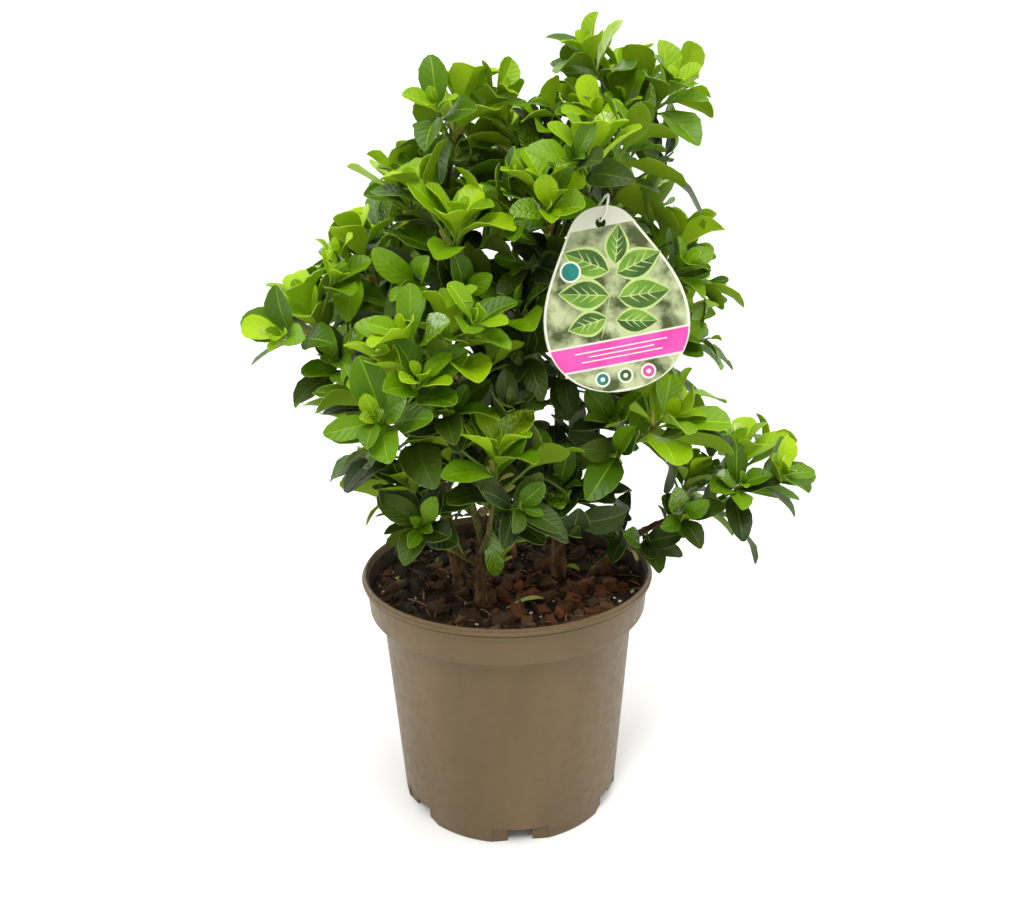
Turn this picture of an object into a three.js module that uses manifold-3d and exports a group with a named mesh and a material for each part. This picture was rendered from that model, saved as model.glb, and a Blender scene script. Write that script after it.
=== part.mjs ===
// A potted Japanese spindle: five rooted stems in a moulded plastic nursery pot, the boughs that
// leave them, the leafy masses that the boughs carry, and a plain plant label on a loop of string.
// Millimetres, +Z up, front towards -Y. The origin is the centre of the pot's flat underside.
import * as THREE from "three";
import { mergeVertices } from "three/addons/utils/BufferGeometryUtils.js";
import Module from "manifold-3d";

const wasm = await Module();
wasm.setup();

// Driving sizes of the pot
const CLEAR = 0.3; // gap kept between two pieces that touch
const POT_HEIGHT = 160;
const LIP_RADIUS = 95;
const FOOT_RADIUS = 73;
const BODY_TOP_RADIUS = 82.8;
const COLLAR_RADIUS = 90.7;
const COLLAR_HEIGHT = 25.4;
const WALL = 1.5;
const LIP_HEIGHT = 6;
const CHANNEL_RISE = 5; // the drain channel under the floor's edge
const CHANNEL_IN = 56;
const CHANNEL_OUT = 69;
const DRAINS = 6;
const DRAIN = { panel: 36, slot: 16, height: 9.5, recess: 0.7, turn: THREE.MathUtils.degToRad(4.5) };
const AROUND = 36; // sides of every round piece of the pot

// Driving sizes of the soil
const SOIL_TOP = 148;
const SOIL_EDGE_DROP = 3;
const SOIL_FLAT_RADIUS = 74;

// Driving sizes of the limbs
const BOUGH_SHARE = 0.44; // how much of a shoot is bare bough, before its leaves
const BOUGH_RADIUS = { foot: 2.3, tip: 1.5 };
const TWIG_RADIUS = { foot: 1.7, tip: 1.2 }; // to the corners of a three-sided twig
const SIDE_RADIUS = { foot: 1.4, tip: 1.1 };
const FLARE = 2.2;

// Driving sizes of the foliage. Leaves sit in opposite pairs, counted from the tip of a shoot.
const LEAF_SIDES = 6;
const LEAF_THICK = 1.1;
const LEAF_WIDTH = 0.68; // of its length
const LEAF_CREST = 0.2; // level of its thickest place, from foot to tip
const LEAF_ARCH = 0.07; // how far the middle stands above the line from foot to tip
const LEAF_FOLD = 0.12; // how far the edges stand above the midrib
const ROOT = { out: 0.4, deep: 0.3 }; // a leaf's foot beside its twig's axis, and sunk back from there
// What a leaf tries until it is free: degrees added to its lean, and its size
const TRIES = [
  [0, 1], [14, 1], [-14, 1], [28, 1], [-24, 1],
  [0, 0.8], [16, 0.8], [-16, 0.8], [34, 0.8],
  [0, 0.6], [24, 0.6],
];
const LIGHT_TURN = 0.45; // how strongly a leaf turns its upper face to the sky
const PAIRS = [
  { back: 3, length: 30, lean: 16 },
  { back: 9, length: 42, lean: 34 },
  { back: 18, length: 50, lean: 52 },
  { back: 30, length: 54, lean: 70 },
  { back: 44, length: 54, lean: 84 },
];
const SIDE_PAIRS = 2;
const SIDE_SCALE = 0.86;
const SIDE_TWIG = { first: 26, step: 15, length: 34, lean: 58 };
const TRIM = { right: 60, low: 162, rise: 0.5 }; // where the low leaves in front are trimmed off

// The label
const LABEL = { width: 75, height: 94, thick: 0.8, hole: 2.6, holeDrop: 8 };
const LABEL_APEX = new THREE.Vector3(48, -86, 388);
const LABEL_ROLL = THREE.MathUtils.degToRad(10);
const LABEL_LEAN = THREE.MathUtils.degToRad(4);
const STRING_RADIUS = 0.6;
const STRING_AT = 0.8; // where along its shoot the string is looped
const STRING_SHOOT = "label_front";

// Rooted stems. foot and top are the ends of the centre line, and bend pulls it sideways between.
const STEMS = {
  front: { foot: [-17, -31], bend: [-16, -31, 178], top: [-15, -30, 206], radius: [3.5, 3.0] },
  left: { foot: [-28, -13], bend: [-58, 6, 270], top: [-34, -4, 385], radius: [3.5, 1.8] },
  mid: { foot: [35, 6], bend: [30, 12, 280], top: [48, -4, 405], radius: [3.8, 1.8] },
  right: { foot: [60, 15], bend: [84, 10, 182], top: [122, 2, 192], radius: [3.0, 1.8] },
  back: { foot: [2, 42], bend: [-8, 60, 270], top: [12, 68, 375], radius: [3.5, 1.8] },
};

// Shoots: the stem each leaves, how far up it, and where its tip reaches. A shoot with a share has a
// bare bough of that share of its length, and the rest of it is the stem of a leafy mass.
const SHOOTS = [
  { name: "top_left", stem: "left", from: 1, tip: [-22, -12, 448] },
  { name: "upper_left_front", stem: "left", from: 0.78, tip: [-23, -60, 381] },
  { name: "upper_left", stem: "left", from: 0.85, tip: [-61, 10, 404] },
  { name: "left_upper", stem: "left", from: 0.62, tip: [-83, -14, 372], share: BOUGH_SHARE },
  { name: "left", stem: "left", from: 0.45, tip: [-114, -28, 337], share: BOUGH_SHARE },
  { name: "left_low", stem: "left", from: 0.28, tip: [-93, -14, 266], share: BOUGH_SHARE },
  { name: "left_back", stem: "left", from: 0.55, tip: [-92, 48, 335], share: BOUGH_SHARE },
  { name: "top_inner", stem: "mid", from: 1, tip: [52, -12, 436] },
  { name: "top_mid", stem: "mid", from: 0.85, tip: [4, 0, 440] },
  { name: "top_centre", stem: "mid", from: 0.9, tip: [71, 10, 463], share: BOUGH_SHARE },
  { name: "top_right", stem: "mid", from: 0.75, tip: [82, 0, 455], share: BOUGH_SHARE },
  { name: "centre_upper", stem: "mid", from: 0.72, tip: [23, -60, 396] },
  { name: "label_front", stem: "mid", from: 0.6, tip: [46, -72, 415], share: 0.84 },
  { name: "centre", stem: "mid", from: 0.55, tip: [8, -55, 335], size: 1.15 },
  { name: "right_upper", stem: "mid", from: 0.6, tip: [108, 5, 368], share: BOUGH_SHARE },
  { name: "right_mid", stem: "mid", from: 0.42, tip: [104, 9, 322], share: BOUGH_SHARE },
  { name: "right_front", stem: "mid", from: 0.3, tip: [92, -52, 272], share: BOUGH_SHARE, size: 1.1 },
  { name: "low_centre", stem: "mid", from: 0.2, tip: [32, -45, 226], size: 1.12 },
  { name: "far_right", stem: "right", from: 1, tip: [149, -5, 240] },
  { name: "right_low", stem: "right", from: 0.75, tip: [115, -12, 226] },
  { name: "right_base", stem: "right", from: 0.35, tip: [88, -12, 178], size: 0.85 },
  { name: "front_left", stem: "front", from: 0.94, tip: [-58, -90, 312], share: BOUGH_SHARE },
  { name: "front_centre", stem: "front", from: 0.72, tip: [-28, -85, 334], share: BOUGH_SHARE },
  { name: "front_low", stem: "front", from: 0.56, tip: [-4, -92, 266], share: BOUGH_SHARE },
  { name: "low_front_left", stem: "front", from: 0.42, tip: [-56, -64, 238] },
  { name: "front_foot", stem: "front", from: 0.3, tip: [8, -44, 210], size: 0.75 },
  { name: "back_top", stem: "back", from: 1, tip: [10, 72, 424], size: 1.2 },
  { name: "back_left_upper", stem: "back", from: 0.8,
    tip: [-55, 78, 382], share: BOUGH_SHARE, size: 1.15 },
  { name: "back_right_upper", stem: "back", from: 0.75,
    tip: [78, 70, 392], share: BOUGH_SHARE, size: 1.15 },
  { name: "back_left_low", stem: "back", from: 0.45,
    tip: [-72, 82, 285], share: BOUGH_SHARE, size: 1.15 },
  { name: "back_right_low", stem: "back", from: 0.4,
    tip: [75, 82, 288], share: BOUGH_SHARE, size: 1.15 },
  { name: "back_mid", stem: "back", from: 0.6, tip: [5, 118, 322], size: 1.15 },
  { name: "back_low", stem: "back", from: 0.25, tip: [-12, 98, 222], size: 1.15 },
];

const MATERIALS = {
  pot: new THREE.MeshStandardMaterial({ color: 0x8b7960, roughness: 0.5, metalness: 0 }),
  soil: new THREE.MeshStandardMaterial({ color: 0x3a241a, roughness: 0.95, metalness: 0 }),
  bark: new THREE.MeshStandardMaterial({ color: 0x5c4128, roughness: 0.8, metalness: 0 }),
  leaf: new THREE.MeshStandardMaterial({ color: 0x5a9a1e, roughness: 0.35, metalness: 0 }),
  label: new THREE.MeshStandardMaterial({ color: 0xc9cfa2, roughness: 0.3, metalness: 0 }),
  string: new THREE.MeshStandardMaterial({ color: 0xe6e4dc, roughness: 0.6, metalness: 0 }),
};

// Solids and meshes

function solidOf(geometry) {
  const bare = geometry.clone();
  bare.deleteAttribute("normal");
  bare.deleteAttribute("uv");
  const merged = mergeVertices(bare, 1e-4);
  return new wasm.Manifold(
    new wasm.Mesh({
      numProp: 3,
      vertProperties: merged.attributes.position.array,
      triVerts: new Uint32Array(merged.index.array),
    }),
  );
}

function meshOf(name, solid, material) {
  const { vertProperties, triVerts } = solid.getMesh();
  const geometry = new THREE.BufferGeometry();
  geometry.setAttribute("position", new THREE.BufferAttribute(vertProperties, 3));
  geometry.setIndex(new THREE.BufferAttribute(triVerts, 1));
  geometry.computeVertexNormals();
  const mesh = new THREE.Mesh(geometry, material);
  mesh.name = name;
  return mesh;
}

const fuse = (solids) => solids.reduce((whole, next) => whole.add(next));

// The outer skin of a solid, without a pocket that its pieces close off.
const skinOf = (solid) => {
  const larger = (one, next) => (next.volume() > one.volume() ? next : one);
  return solid.decompose().reduce(larger);
};

// A number from 0 to 1 that depends on the whole numbers given and on nothing else.
function chance(...keys) {
  const mixed = keys.reduce((sum, key, place) => sum + (key + 1) * (12.9898 + 65.243 * place), 0);
  const wild = Math.sin(mixed) * 43758.5453;
  return wild - Math.floor(wild);
}

const between = (low, high, ...keys) => low + (high - low) * chance(...keys);

// Limbs

// The unit vector nearest to a direction that is square to another unit vector.
function squaredTo(from, away) {
  return from.clone().addScaledVector(away, -from.dot(away)).normalize();
}

// Straight out of a curve at t, turned round it by an angle. The curve bends in one flat plane, and
// angle zero is square to that plane, so the directions never twist on the way.
function outward(curve, t, angle) {
  const [start, ahead] = [curve.getTangent(0), curve.getTangent(t)];
  const level = new THREE.Vector3().crossVectors(start, curve.getTangent(1));
  const side = level.length() > 0.02 ? level.normalize() : squaredTo(new THREE.Vector3(1, 0, 0), start);
  return squaredTo(side, ahead).applyAxisAngle(ahead, -angle);
}

const evenly = (from, to, count) =>
  Array.from({ length: count + 1 }, (_, i) => from + ((to - from) * i) / count);

// A cylinder bent along the curve, with a ring at each stop and its radius given at each share of
// the way. Its corners start at the angle roll.
function limb(curve, stops, radiusAt, sides, roll = 0) {
  const count = stops.length - 1;
  const geometry = new THREE.CylinderGeometry(1, 1, 1, sides, count);
  const at = geometry.attributes.position;
  for (let i = 0; i < at.count; i++) {
    const t = stops[Math.round((at.getY(i) + 0.5) * count)];
    const radius = radiusAt((t - stops[0]) / (stops[count] - stops[0]));
    const point = curve.getPoint(t);
    point.addScaledVector(outward(curve, t, roll), at.getX(i) * radius);
    point.addScaledVector(outward(curve, t, roll + Math.PI / 2), at.getZ(i) * radius);
    at.setXYZ(i, point.x, point.y, point.z);
  }
  return solidOf(geometry);
}

const taper = (foot, tip) => (share) => foot + (tip - foot) * share;

// Stems: each has its curve, its radius with a flare at the root, and a solid cut flat at the ground.
const stems = {};
for (const [name, { foot, bend, top, radius }] of Object.entries(STEMS)) {
  const curve = new THREE.QuadraticBezierCurve3(
    new THREE.Vector3(...foot, SOIL_TOP - 4),
    new THREE.Vector3(...bend),
    new THREE.Vector3(...top),
  );
  const radiusAt = (share) => taper(...radius)(share) + FLARE * (1 - share) ** 9;
  const rings = evenly(0, 1, Math.max(5, Math.round(curve.getLength() / 24)));
  const grown = (gap) => limb(curve, rings, (share) => radiusAt(share) + gap, 7);
  stems[name] = { curve, radiusAt, grown };
}

function stemSolid({ grown }) {
  const ground = new THREE.BoxGeometry(400, 400, 40);
  ground.translate(0, 0, SOIL_TOP + CLEAR - 20);
  return grown(0).subtract(solidOf(ground));
}

// A shoot leaves its stem sideways and then turns up, or runs straight on from the stem's tip.
function shootCurve({ stem, from, tip }) {
  const start = stems[stem].curve.getPoint(from);
  const end = new THREE.Vector3(...tip);
  const reach = end.clone().sub(start);
  const bend = from < 1
    ? start.clone().add(new THREE.Vector3(0.76 * reach.x, 0.76 * reach.y, 0.38 * reach.z))
    : start.clone().addScaledVector(stems[stem].curve.getTangent(1), 0.5 * reach.length());
  return new THREE.QuadraticBezierCurve3(start, bend, end);
}

// A bough is always thinner than the stem it leaves.
function boughRadius({ stem, from, share }) {
  const foot = Math.min(BOUGH_RADIUS.foot, 0.82 * stems[stem].radiusAt(from));
  return taper(foot, BOUGH_RADIUS.tip);
}

function boughSolid(shoot) {
  return limb(shoot.curve, evenly(0, shoot.share, 4), boughRadius(shoot), 6);
}

// Foliage: each shoot's twigs and the leaves on them, worked out before any solid is made

// Side twigs leave a shoot at fixed steps back from its tip. One that is not free takes the next
// quarter turn round the shoot, and with none left it is skipped.
function twigsOf(shoot, index) {
  const { curve, size = 1, share, begins } = shoot;
  const length = curve.getLength();
  const twigs = [twigOf(curve, begins, size, PAIRS.length, TWIG_RADIUS, 6.28 * chance(index, 7))];
  for (let j = 0; j < (share ? 1 : 2); j++) {
    const back = SIDE_TWIG.first + SIDE_TWIG.step * j;
    const t = Math.max(begins + (share ? 4 : 12) / length, 1 - back / length);
    const turn = 2.4 * j + 6.28 * chance(index, 90);
    const turns = [0, 1, 2, 3].map((quarter) => turn + (Math.PI / 2) * quarter);
    const tries = turns.map((angle) => sideCurve(curve, t, angle, [index, j]));
    const side = tries.find((way) => [0.4, 0.7, 1].every((place) => isClear(way.getPoint(place), shoot)));
    const roll = 6.28 * chance(index, j, 93);
    if (side) twigs.push(twigOf(side, 0, SIDE_SCALE * size, SIDE_PAIRS, SIDE_RADIUS, roll));
  }
  return twigs;
}

function sideCurve(curve, t, turn, keys) {
  const start = curve.getPoint(t);
  const out = outward(curve, t, turn);
  const lean = THREE.MathUtils.degToRad(SIDE_TWIG.lean + between(-8, 8, ...keys, 91));
  const reach = SIDE_TWIG.length * between(0.85, 1.2, ...keys, 92);
  const way = curve.getTangent(t).multiplyScalar(Math.cos(lean)).addScaledVector(out, Math.sin(lean));
  const bend = start.clone().addScaledVector(way, reach * 0.5);
  const end = bend.clone().addScaledVector(way, reach * 0.4);
  end.z += reach * 0.15;
  return new THREE.QuadraticBezierCurve3(start, bend, end);
}

function twigOf(curve, from, size, pairs, radius, roll) {
  const levels = PAIRS.slice(0, pairs)
    .map(({ back }) => 1 - (back * size) / curve.getLength())
    .filter((t) => t > from + 0.03);
  return { curve, size, radius, roll, levels, stops: evenly(from, 1, pairs > SIDE_PAIRS ? 4 : 2) };
}

// Opposite leaves: two to a pair, and each pair a quarter turn on from the last. A leaf that is
// not free takes the next lean, and with none left it is skipped.
function growLeaves(shoot, index) {
  const kept = [];
  shoot.twigs.forEach((twig, number) => twig.levels.forEach((t, pair) => {
    for (let side = 0; side < 2; side++) {
      const keys = [index, number, pair, side];
      const grown = TRIES.map((change) => leafAt(twig, t, pair, side, change, keys));
      const free = grown.find((leaf) => fits(leaf, shoot) && !kept.some((other) => crosses(leaf, other)));
      if (free) kept.push(free);
    }
  }));
  return kept;
}

function leafAt({ curve, roll, size }, t, pair, side, [lean, scale], keys) {
  const ahead = curve.getTangent(t);
  const turn = roll + Math.PI * side + (Math.PI / 2) * pair + between(-0.25, 0.25, ...keys, 1);
  const out = outward(curve, t, turn);
  const tilt = THREE.MathUtils.degToRad(PAIRS[pair].lean + lean + between(-9, 9, ...keys, 2));
  const along = ahead.clone().multiplyScalar(Math.cos(tilt)).addScaledVector(out, Math.sin(tilt));
  const inward = ahead.clone().multiplyScalar(Math.sin(tilt)).addScaledVector(out, -Math.cos(tilt));
  const normal = squaredTo(inward.addScaledVector(new THREE.Vector3(0, 0, 1), LIGHT_TURN), along);
  return {
    foot: curve.getPoint(t).addScaledVector(out, ROOT.out),
    along,
    normal,
    across: new THREE.Vector3().crossVectors(along, normal),
    length: PAIRS[pair].length * size * scale * between(0.86, 1.12, ...keys, 3),
  };
}

// A point of a leaf: level from foot to tip, side from -1 to 1, and height off its middle sheet.
function leafPoint(leaf, level, side, height) {
  const share = level ** 0.65;
  const wide = 0.5 * LEAF_WIDTH * leaf.length * (1.08 - 0.3 * level);
  const arch = 4 * share * (1 - share) * LEAF_ARCH * leaf.length;
  const fold = LEAF_FOLD * Math.abs(side) * leaf.length * LEAF_WIDTH;
  return leaf.foot.clone()
    .addScaledVector(leaf.along, share * (leaf.length + ROOT.deep) - ROOT.deep)
    .addScaledVector(leaf.across, side * wide)
    .addScaledVector(leaf.normal, height + arch + fold);
}

// A leaf is a flattened ball of few sides, drawn out to the leaf's own outline.
function leafSolid(leaf) {
  const geometry = new THREE.SphereGeometry(1, LEAF_SIDES, 2);
  const at = geometry.attributes.position;
  for (let i = 0; i < at.count; i++) {
    const level = Math.abs(at.getY(i)) > 0.5 ? LEAF_CREST : (at.getX(i) + 1) / 2;
    const point = leafPoint(leaf, level, at.getZ(i), (at.getY(i) * LEAF_THICK) / 2);
    at.setXYZ(i, point.x, point.y, point.z);
  }
  return solidOf(geometry);
}

// Keeping each mass to its own space

function distanceToLine(point, from, to) {
  return new THREE.Line3(from, to).closestPointToPoint(point, true, new THREE.Vector3()).distanceTo(point);
}

function piecesOf(curve, from, to, count) {
  const points = evenly(from, to, count).map((t) => curve.getPoint(t));
  return points.slice(1).map((point, i) => [points[i], point]);
}

function nearest(point, lines) {
  return Math.min(...lines.map(([from, to]) => distanceToLine(point, from, to)));
}

const OUTLINE = [
  [0.25, 0.87], [0.25, -0.87], [0.75, 0.87], [0.75, -0.87],
  [0.5, 0], [1, 0], [0.5, 0.87], [0.5, -0.87],
];
const SPACE = 1.2; // how much nearer its own twigs than another mass's a leaf has to stay

// A shoot's leafy part begins a gap past its bough's tip, or past the stem's own tip.
const shoots = SHOOTS.map((shoot) => {
  const curve = shootCurve(shoot);
  const gap = CLEAR / curve.getLength();
  const begins = shoot.share ? shoot.share + gap : shoot.from < 1 ? 0 : gap;
  return { ...shoot, curve, begins, main: piecesOf(curve, begins, 1, 4) };
});

// The label's own frame: X across it, Y up it and Z out of its printed face
const labelFrame = new THREE.Matrix4()
  .makeRotationFromEuler(new THREE.Euler(Math.PI / 2 - LABEL_LEAN, 0, 0))
  .multiply(new THREE.Matrix4().makeRotationZ(LABEL_ROLL))
  .setPosition(LABEL_APEX);
const labelInverse = labelFrame.clone().invert();

function nearLabel(point) {
  const local = point.clone().applyMatrix4(labelInverse);
  const inside = Math.abs(local.x) < LABEL.width / 2 + 2 && local.y < 2 && local.y > -LABEL.height - 2;
  return inside && Math.abs(local.z) < 2.2;
}

// The lowest leaves in front are trimmed off, so that the soil shows between the pot's lip and a
// plane that rises forward over it.
function nearPot({ x, y, z }) {
  const out = Math.hypot(x, y);
  if (out > LIP_RADIUS + 2) return false;
  if (y < 0 && x < TRIM.right && z < TRIM.low - TRIM.rise * y) return true;
  return z < (out > LIP_RADIUS - 9 ? POT_HEIGHT + 2 : SOIL_TOP + 2);
}

const stringShoot = shoots.find(({ name }) => name === STRING_SHOOT);
const stringTop = stringShoot.curve.getPoint(STRING_AT);
const hole = new THREE.Vector3(0, -LABEL.holeDrop, LABEL.thick / 2).applyMatrix4(labelFrame);

// Bare limbs and the string, each as a row of straight lines and how far to keep off them
const obstacles = [
  ...Object.values(stems).map(({ curve, radiusAt }) => ({
    lines: piecesOf(curve, 0, 1, 8),
    keep: radiusAt(0.2) + 0.9,
  })),
  ...shoots.filter(({ share }) => share).map(({ curve, share }) => ({
    lines: piecesOf(curve, 0, share, 4),
    keep: BOUGH_RADIUS.foot + 0.9,
  })),
  { lines: [[stringTop, hole]], keep: 4.5 },
];

// The corners of a leaf's sheet in order round it, clear of the twig that its foot is sunk in
const CORNERS = [[0.02, 0], [0.25, 0.87], [0.75, 0.87], [1, 0], [0.75, -0.87], [0.25, -0.87]];

function sheetOf(leaf) {
  const rim = CORNERS.map(([level, side]) => leafPoint(leaf, level, side, 0));
  const middle = leafPoint(leaf, LEAF_CREST, 0, 0);
  const edges = rim.map((corner, i) => [corner, rim[(i + 1) % rim.length]]);
  return { middle, edges, lines: [...edges, [rim[0], middle], [middle, rim[3]]] };
}

function pierces(lines, { middle, edges }) {
  return lines.some(([from, to]) => {
    const way = to.clone().sub(from);
    const ray = new THREE.Ray(from, way.clone().normalize());
    return edges.some(([a, b]) => {
      const hit = ray.intersectTriangle(middle, a, b, false, new THREE.Vector3());
      return hit !== null && hit.distanceTo(from) < way.length();
    });
  });
}

function crosses(leaf, other) {
  if (leaf.foot.distanceTo(other.foot) > leaf.length + other.length) return false;
  const [one, two] = [sheetOf(leaf), sheetOf(other)];
  return pierces(one.lines, two) || pierces(two.lines, one);
}

// Off the label, the pot and every bare limb
function isOff(point) {
  if (nearLabel(point) || nearPot(point)) return false;
  return obstacles.every(({ lines, keep }) => nearest(point, lines) > keep);
}

const isClear = (point, own) =>
  isOff(point) && shoots.every((other) => other === own || nearest(point, other.main) > 2 * SPACE + 4);

shoots.forEach((shoot, index) => {
  shoot.twigs = twigsOf(shoot, index);
  shoot.lines = shoot.twigs.flatMap(({ curve, stops }) => piecesOf(curve, stops[0], 1, 4));
});

function fits(leaf, own) {
  const sheet = sheetOf(leaf);
  if (obstacles.some(({ lines }) => pierces(lines, sheet))) return false;
  return OUTLINE.every(([level, side]) => {
    const point = leafPoint(leaf, level, side, 0);
    if (!isOff(point)) return false;
    const mine = nearest(point, own.lines);
    if (mine < 1.4) return false;
    return shoots.every((other) => other === own || nearest(point, other.lines) > mine + SPACE);
  });
}

function massSolid(shoot, index) {
  const { stem, from, share, twigs } = shoot;
  const wood = twigs.map(({ curve, stops, radius, roll }) =>
    limb(curve, stops, taper(radius.foot, radius.tip), 3, roll));
  const leaves = growLeaves(shoot, index);
  const mass = fuse([...wood, ...leaves.map(leafSolid)]);
  return skinOf(share || from === 1 ? mass : mass.subtract(stems[stem].grown(CLEAR)));
}

// The pot

// The wall's inner side from the centre of the floor up to the lip, moved in by a gap.
const cavity = (gap) => [
  [0, 2 + gap],
  [CHANNEL_IN - 1.5 - gap, 2 + gap],
  [CHANNEL_IN + 0.5 - gap, CHANNEL_RISE + 2 + gap],
  [CHANNEL_OUT + 0.5 - gap, CHANNEL_RISE + 2 + gap],
  [FOOT_RADIUS - WALL + 0.6 - gap, CHANNEL_RISE + 5 + gap],
  [BODY_TOP_RADIUS - WALL - gap, POT_HEIGHT - COLLAR_HEIGHT + 0.4],
  [COLLAR_RADIUS - WALL - gap, POT_HEIGHT - COLLAR_HEIGHT + 2.6 + gap],
];

function turned(profile) {
  const geometry = new THREE.LatheGeometry(profile.map(([x, y]) => new THREE.Vector2(x, y)), AROUND);
  return solidOf(geometry.rotateX(Math.PI / 2));
}

// Low slots let water out round the foot, each between two thin set-back panels.
function drains() {
  const cuts = [];
  for (let i = 0; i < DRAINS; i++) {
    const slot = new THREE.BoxGeometry(DRAIN.slot, 12, 2 * DRAIN.height);
    slot.translate(0, -FOOT_RADIUS + 1, 0);
    const panel = new THREE.BoxGeometry(DRAIN.panel, 6, 2 * DRAIN.height + 1.5);
    panel.translate(0, -Math.sqrt(FOOT_RADIUS ** 2 - (DRAIN.panel / 2) ** 2) - 3 + DRAIN.recess, 0);
    const turn = DRAIN.turn + (2 * Math.PI * i) / DRAINS;
    for (const cut of [slot, panel]) cuts.push(solidOf(cut.rotateZ(turn)));
  }
  return fuse(cuts);
}

function potSolid() {
  const collarFoot = POT_HEIGHT - COLLAR_HEIGHT;
  const lipFoot = POT_HEIGHT - LIP_HEIGHT;
  const outside = [
    [0, 0],
    [CHANNEL_IN - 1, 0],
    [CHANNEL_IN + 1, CHANNEL_RISE],
    [CHANNEL_OUT, CHANNEL_RISE],
    [CHANNEL_OUT + 1, 0],
    [FOOT_RADIUS, 0],
    [BODY_TOP_RADIUS, collarFoot],
    [COLLAR_RADIUS - 1.8, collarFoot + 0.3],
    [COLLAR_RADIUS, collarFoot + 2.2],
    [COLLAR_RADIUS + 1.3, lipFoot - 0.4],
    [LIP_RADIUS - 0.9, lipFoot + 0.2],
    [LIP_RADIUS - 0.9, lipFoot + 2],
    [LIP_RADIUS - 1.9, lipFoot + 2.4],
    [LIP_RADIUS - 1.9, lipFoot + 3],
    [LIP_RADIUS, lipFoot + 3.4],
    [LIP_RADIUS, POT_HEIGHT - 0.9],
    [LIP_RADIUS - 0.9, POT_HEIGHT],
    [LIP_RADIUS - 3, POT_HEIGHT],
    [COLLAR_RADIUS + 1.5 - WALL, POT_HEIGHT - 4.6],
  ];
  return turned([...outside, ...cavity(0).reverse()]).subtract(drains());
}

function soilSolid() {
  const top = [
    [COLLAR_RADIUS - WALL + 0.2, SOIL_TOP - SOIL_EDGE_DROP],
    [SOIL_FLAT_RADIUS, SOIL_TOP],
    [0, SOIL_TOP],
  ];
  return turned([...cavity(CLEAR), ...top]);
}

// The label: a flat drop of plastic, narrow at the top, with a hole for its string

function labelOutline() {
  const { width, height } = LABEL;
  const half = width / 2;
  const widest = -0.64 * height;
  const shape = new THREE.Shape();
  shape.moveTo(0, 0);
  shape.bezierCurveTo(-0.22 * half, 0, -0.36 * half, -0.03 * height, -0.5 * half, -0.14 * height);
  shape.bezierCurveTo(-0.8 * half, -0.34 * height, -half, -0.46 * height, -half, widest);
  shape.bezierCurveTo(-half, -0.86 * height, -0.56 * half, -height, 0, -height);
  shape.bezierCurveTo(0.56 * half, -height, half, -0.86 * height, half, widest);
  shape.bezierCurveTo(half, -0.46 * height, 0.8 * half, -0.34 * height, 0.5 * half, -0.14 * height);
  shape.bezierCurveTo(0.36 * half, -0.03 * height, 0.22 * half, 0, 0, 0);
  shape.holes.push(new THREE.Path().absarc(0, -LABEL.holeDrop, LABEL.hole, 0, 2 * Math.PI, true));
  return shape;
}

function labelMesh() {
  const geometry = new THREE.ExtrudeGeometry(labelOutline(), {
    depth: LABEL.thick,
    bevelEnabled: false,
    curveSegments: 6,
  });
  const mesh = new THREE.Mesh(geometry, MATERIALS.label);
  mesh.name = "label";
  mesh.position.setFromMatrixPosition(labelFrame);
  mesh.quaternion.setFromRotationMatrix(labelFrame);
  return mesh;
}

// The string goes behind the bough, and both its ends come forward and meet through the hole.
function stringMesh() {
  const off = boughRadius(stringShoot)(STRING_AT / stringShoot.share) + STRING_RADIUS + 0.5;
  const up = stringShoot.curve.getTangent(STRING_AT);
  const side = squaredTo(new THREE.Vector3(1, 0, 0), up);
  const behind = squaredTo(new THREE.Vector3(0, 1, 0), up);
  const out = new THREE.Vector3(0, 0, 1).transformDirection(labelFrame);
  const rest = hole.clone();
  rest.z += LABEL.hole - STRING_RADIUS - 2 * CLEAR;
  const near = (across, back) => stringTop.clone()
    .addScaledVector(side, across * off).addScaledVector(behind, back * off);
  const through = (across, ahead, lift) => rest.clone()
    .add(new THREE.Vector3(across, 0, lift)).addScaledVector(out, ahead);
  const loop = new THREE.CatmullRomCurve3([
    near(0, 1.15),
    near(1.1, 0.2),
    near(1.3, -2.4),
    through(3, 3.2, 12),
    through(2.2, 3.6, 4),
    through(0.5, 1.8, 0),
    through(-0.5, -1.8, 0),
    through(-2.2, -3.6, 4),
    near(-1.3, -2.4),
    near(-1.1, 0.2),
  ], true);
  const geometry = new THREE.TubeGeometry(loop, 36, STRING_RADIUS, 4, true);
  return meshOf("label_string", solidOf(geometry), MATERIALS.string);
}

// The whole plant

const plant = new THREE.Group();
plant.add(meshOf("pot", potSolid(), MATERIALS.pot));
plant.add(meshOf("soil", soilSolid(), MATERIALS.soil));
for (const [name, stem] of Object.entries(stems)) {
  plant.add(meshOf("stem_" + name, stemSolid(stem), MATERIALS.bark));
}
shoots.forEach((shoot, index) => {
  if (shoot.share) {
    const bough = boughSolid(shoot).subtract(stems[shoot.stem].grown(CLEAR));
    plant.add(meshOf("bough_" + shoot.name, bough, MATERIALS.bark));
  }
  plant.add(meshOf("mass_" + shoot.name, massSolid(shoot, index), MATERIALS.leaf));
});
plant.add(labelMesh());
plant.add(stringMesh());

export default plant;
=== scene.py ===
# %% [markdown]
# # A potted Japanese spindle
# A young evergreen shrub, about knee high, in the taupe pot that it was grown in. Five woody stems
# rise from soil covered in bark chips, split into boughs, and carry rosettes of thick glossy leaves:
# yellow-green at the tips of this year's shoots, dark green further in. A plant label hangs in front.
# The CAD frame gives every limb and the space of every leafy mass. This script dresses it.

# %% Load the frame and note its box
import math

import bmesh
import bpy
import numpy as np
from mathutils import Euler, Matrix, Vector


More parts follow.
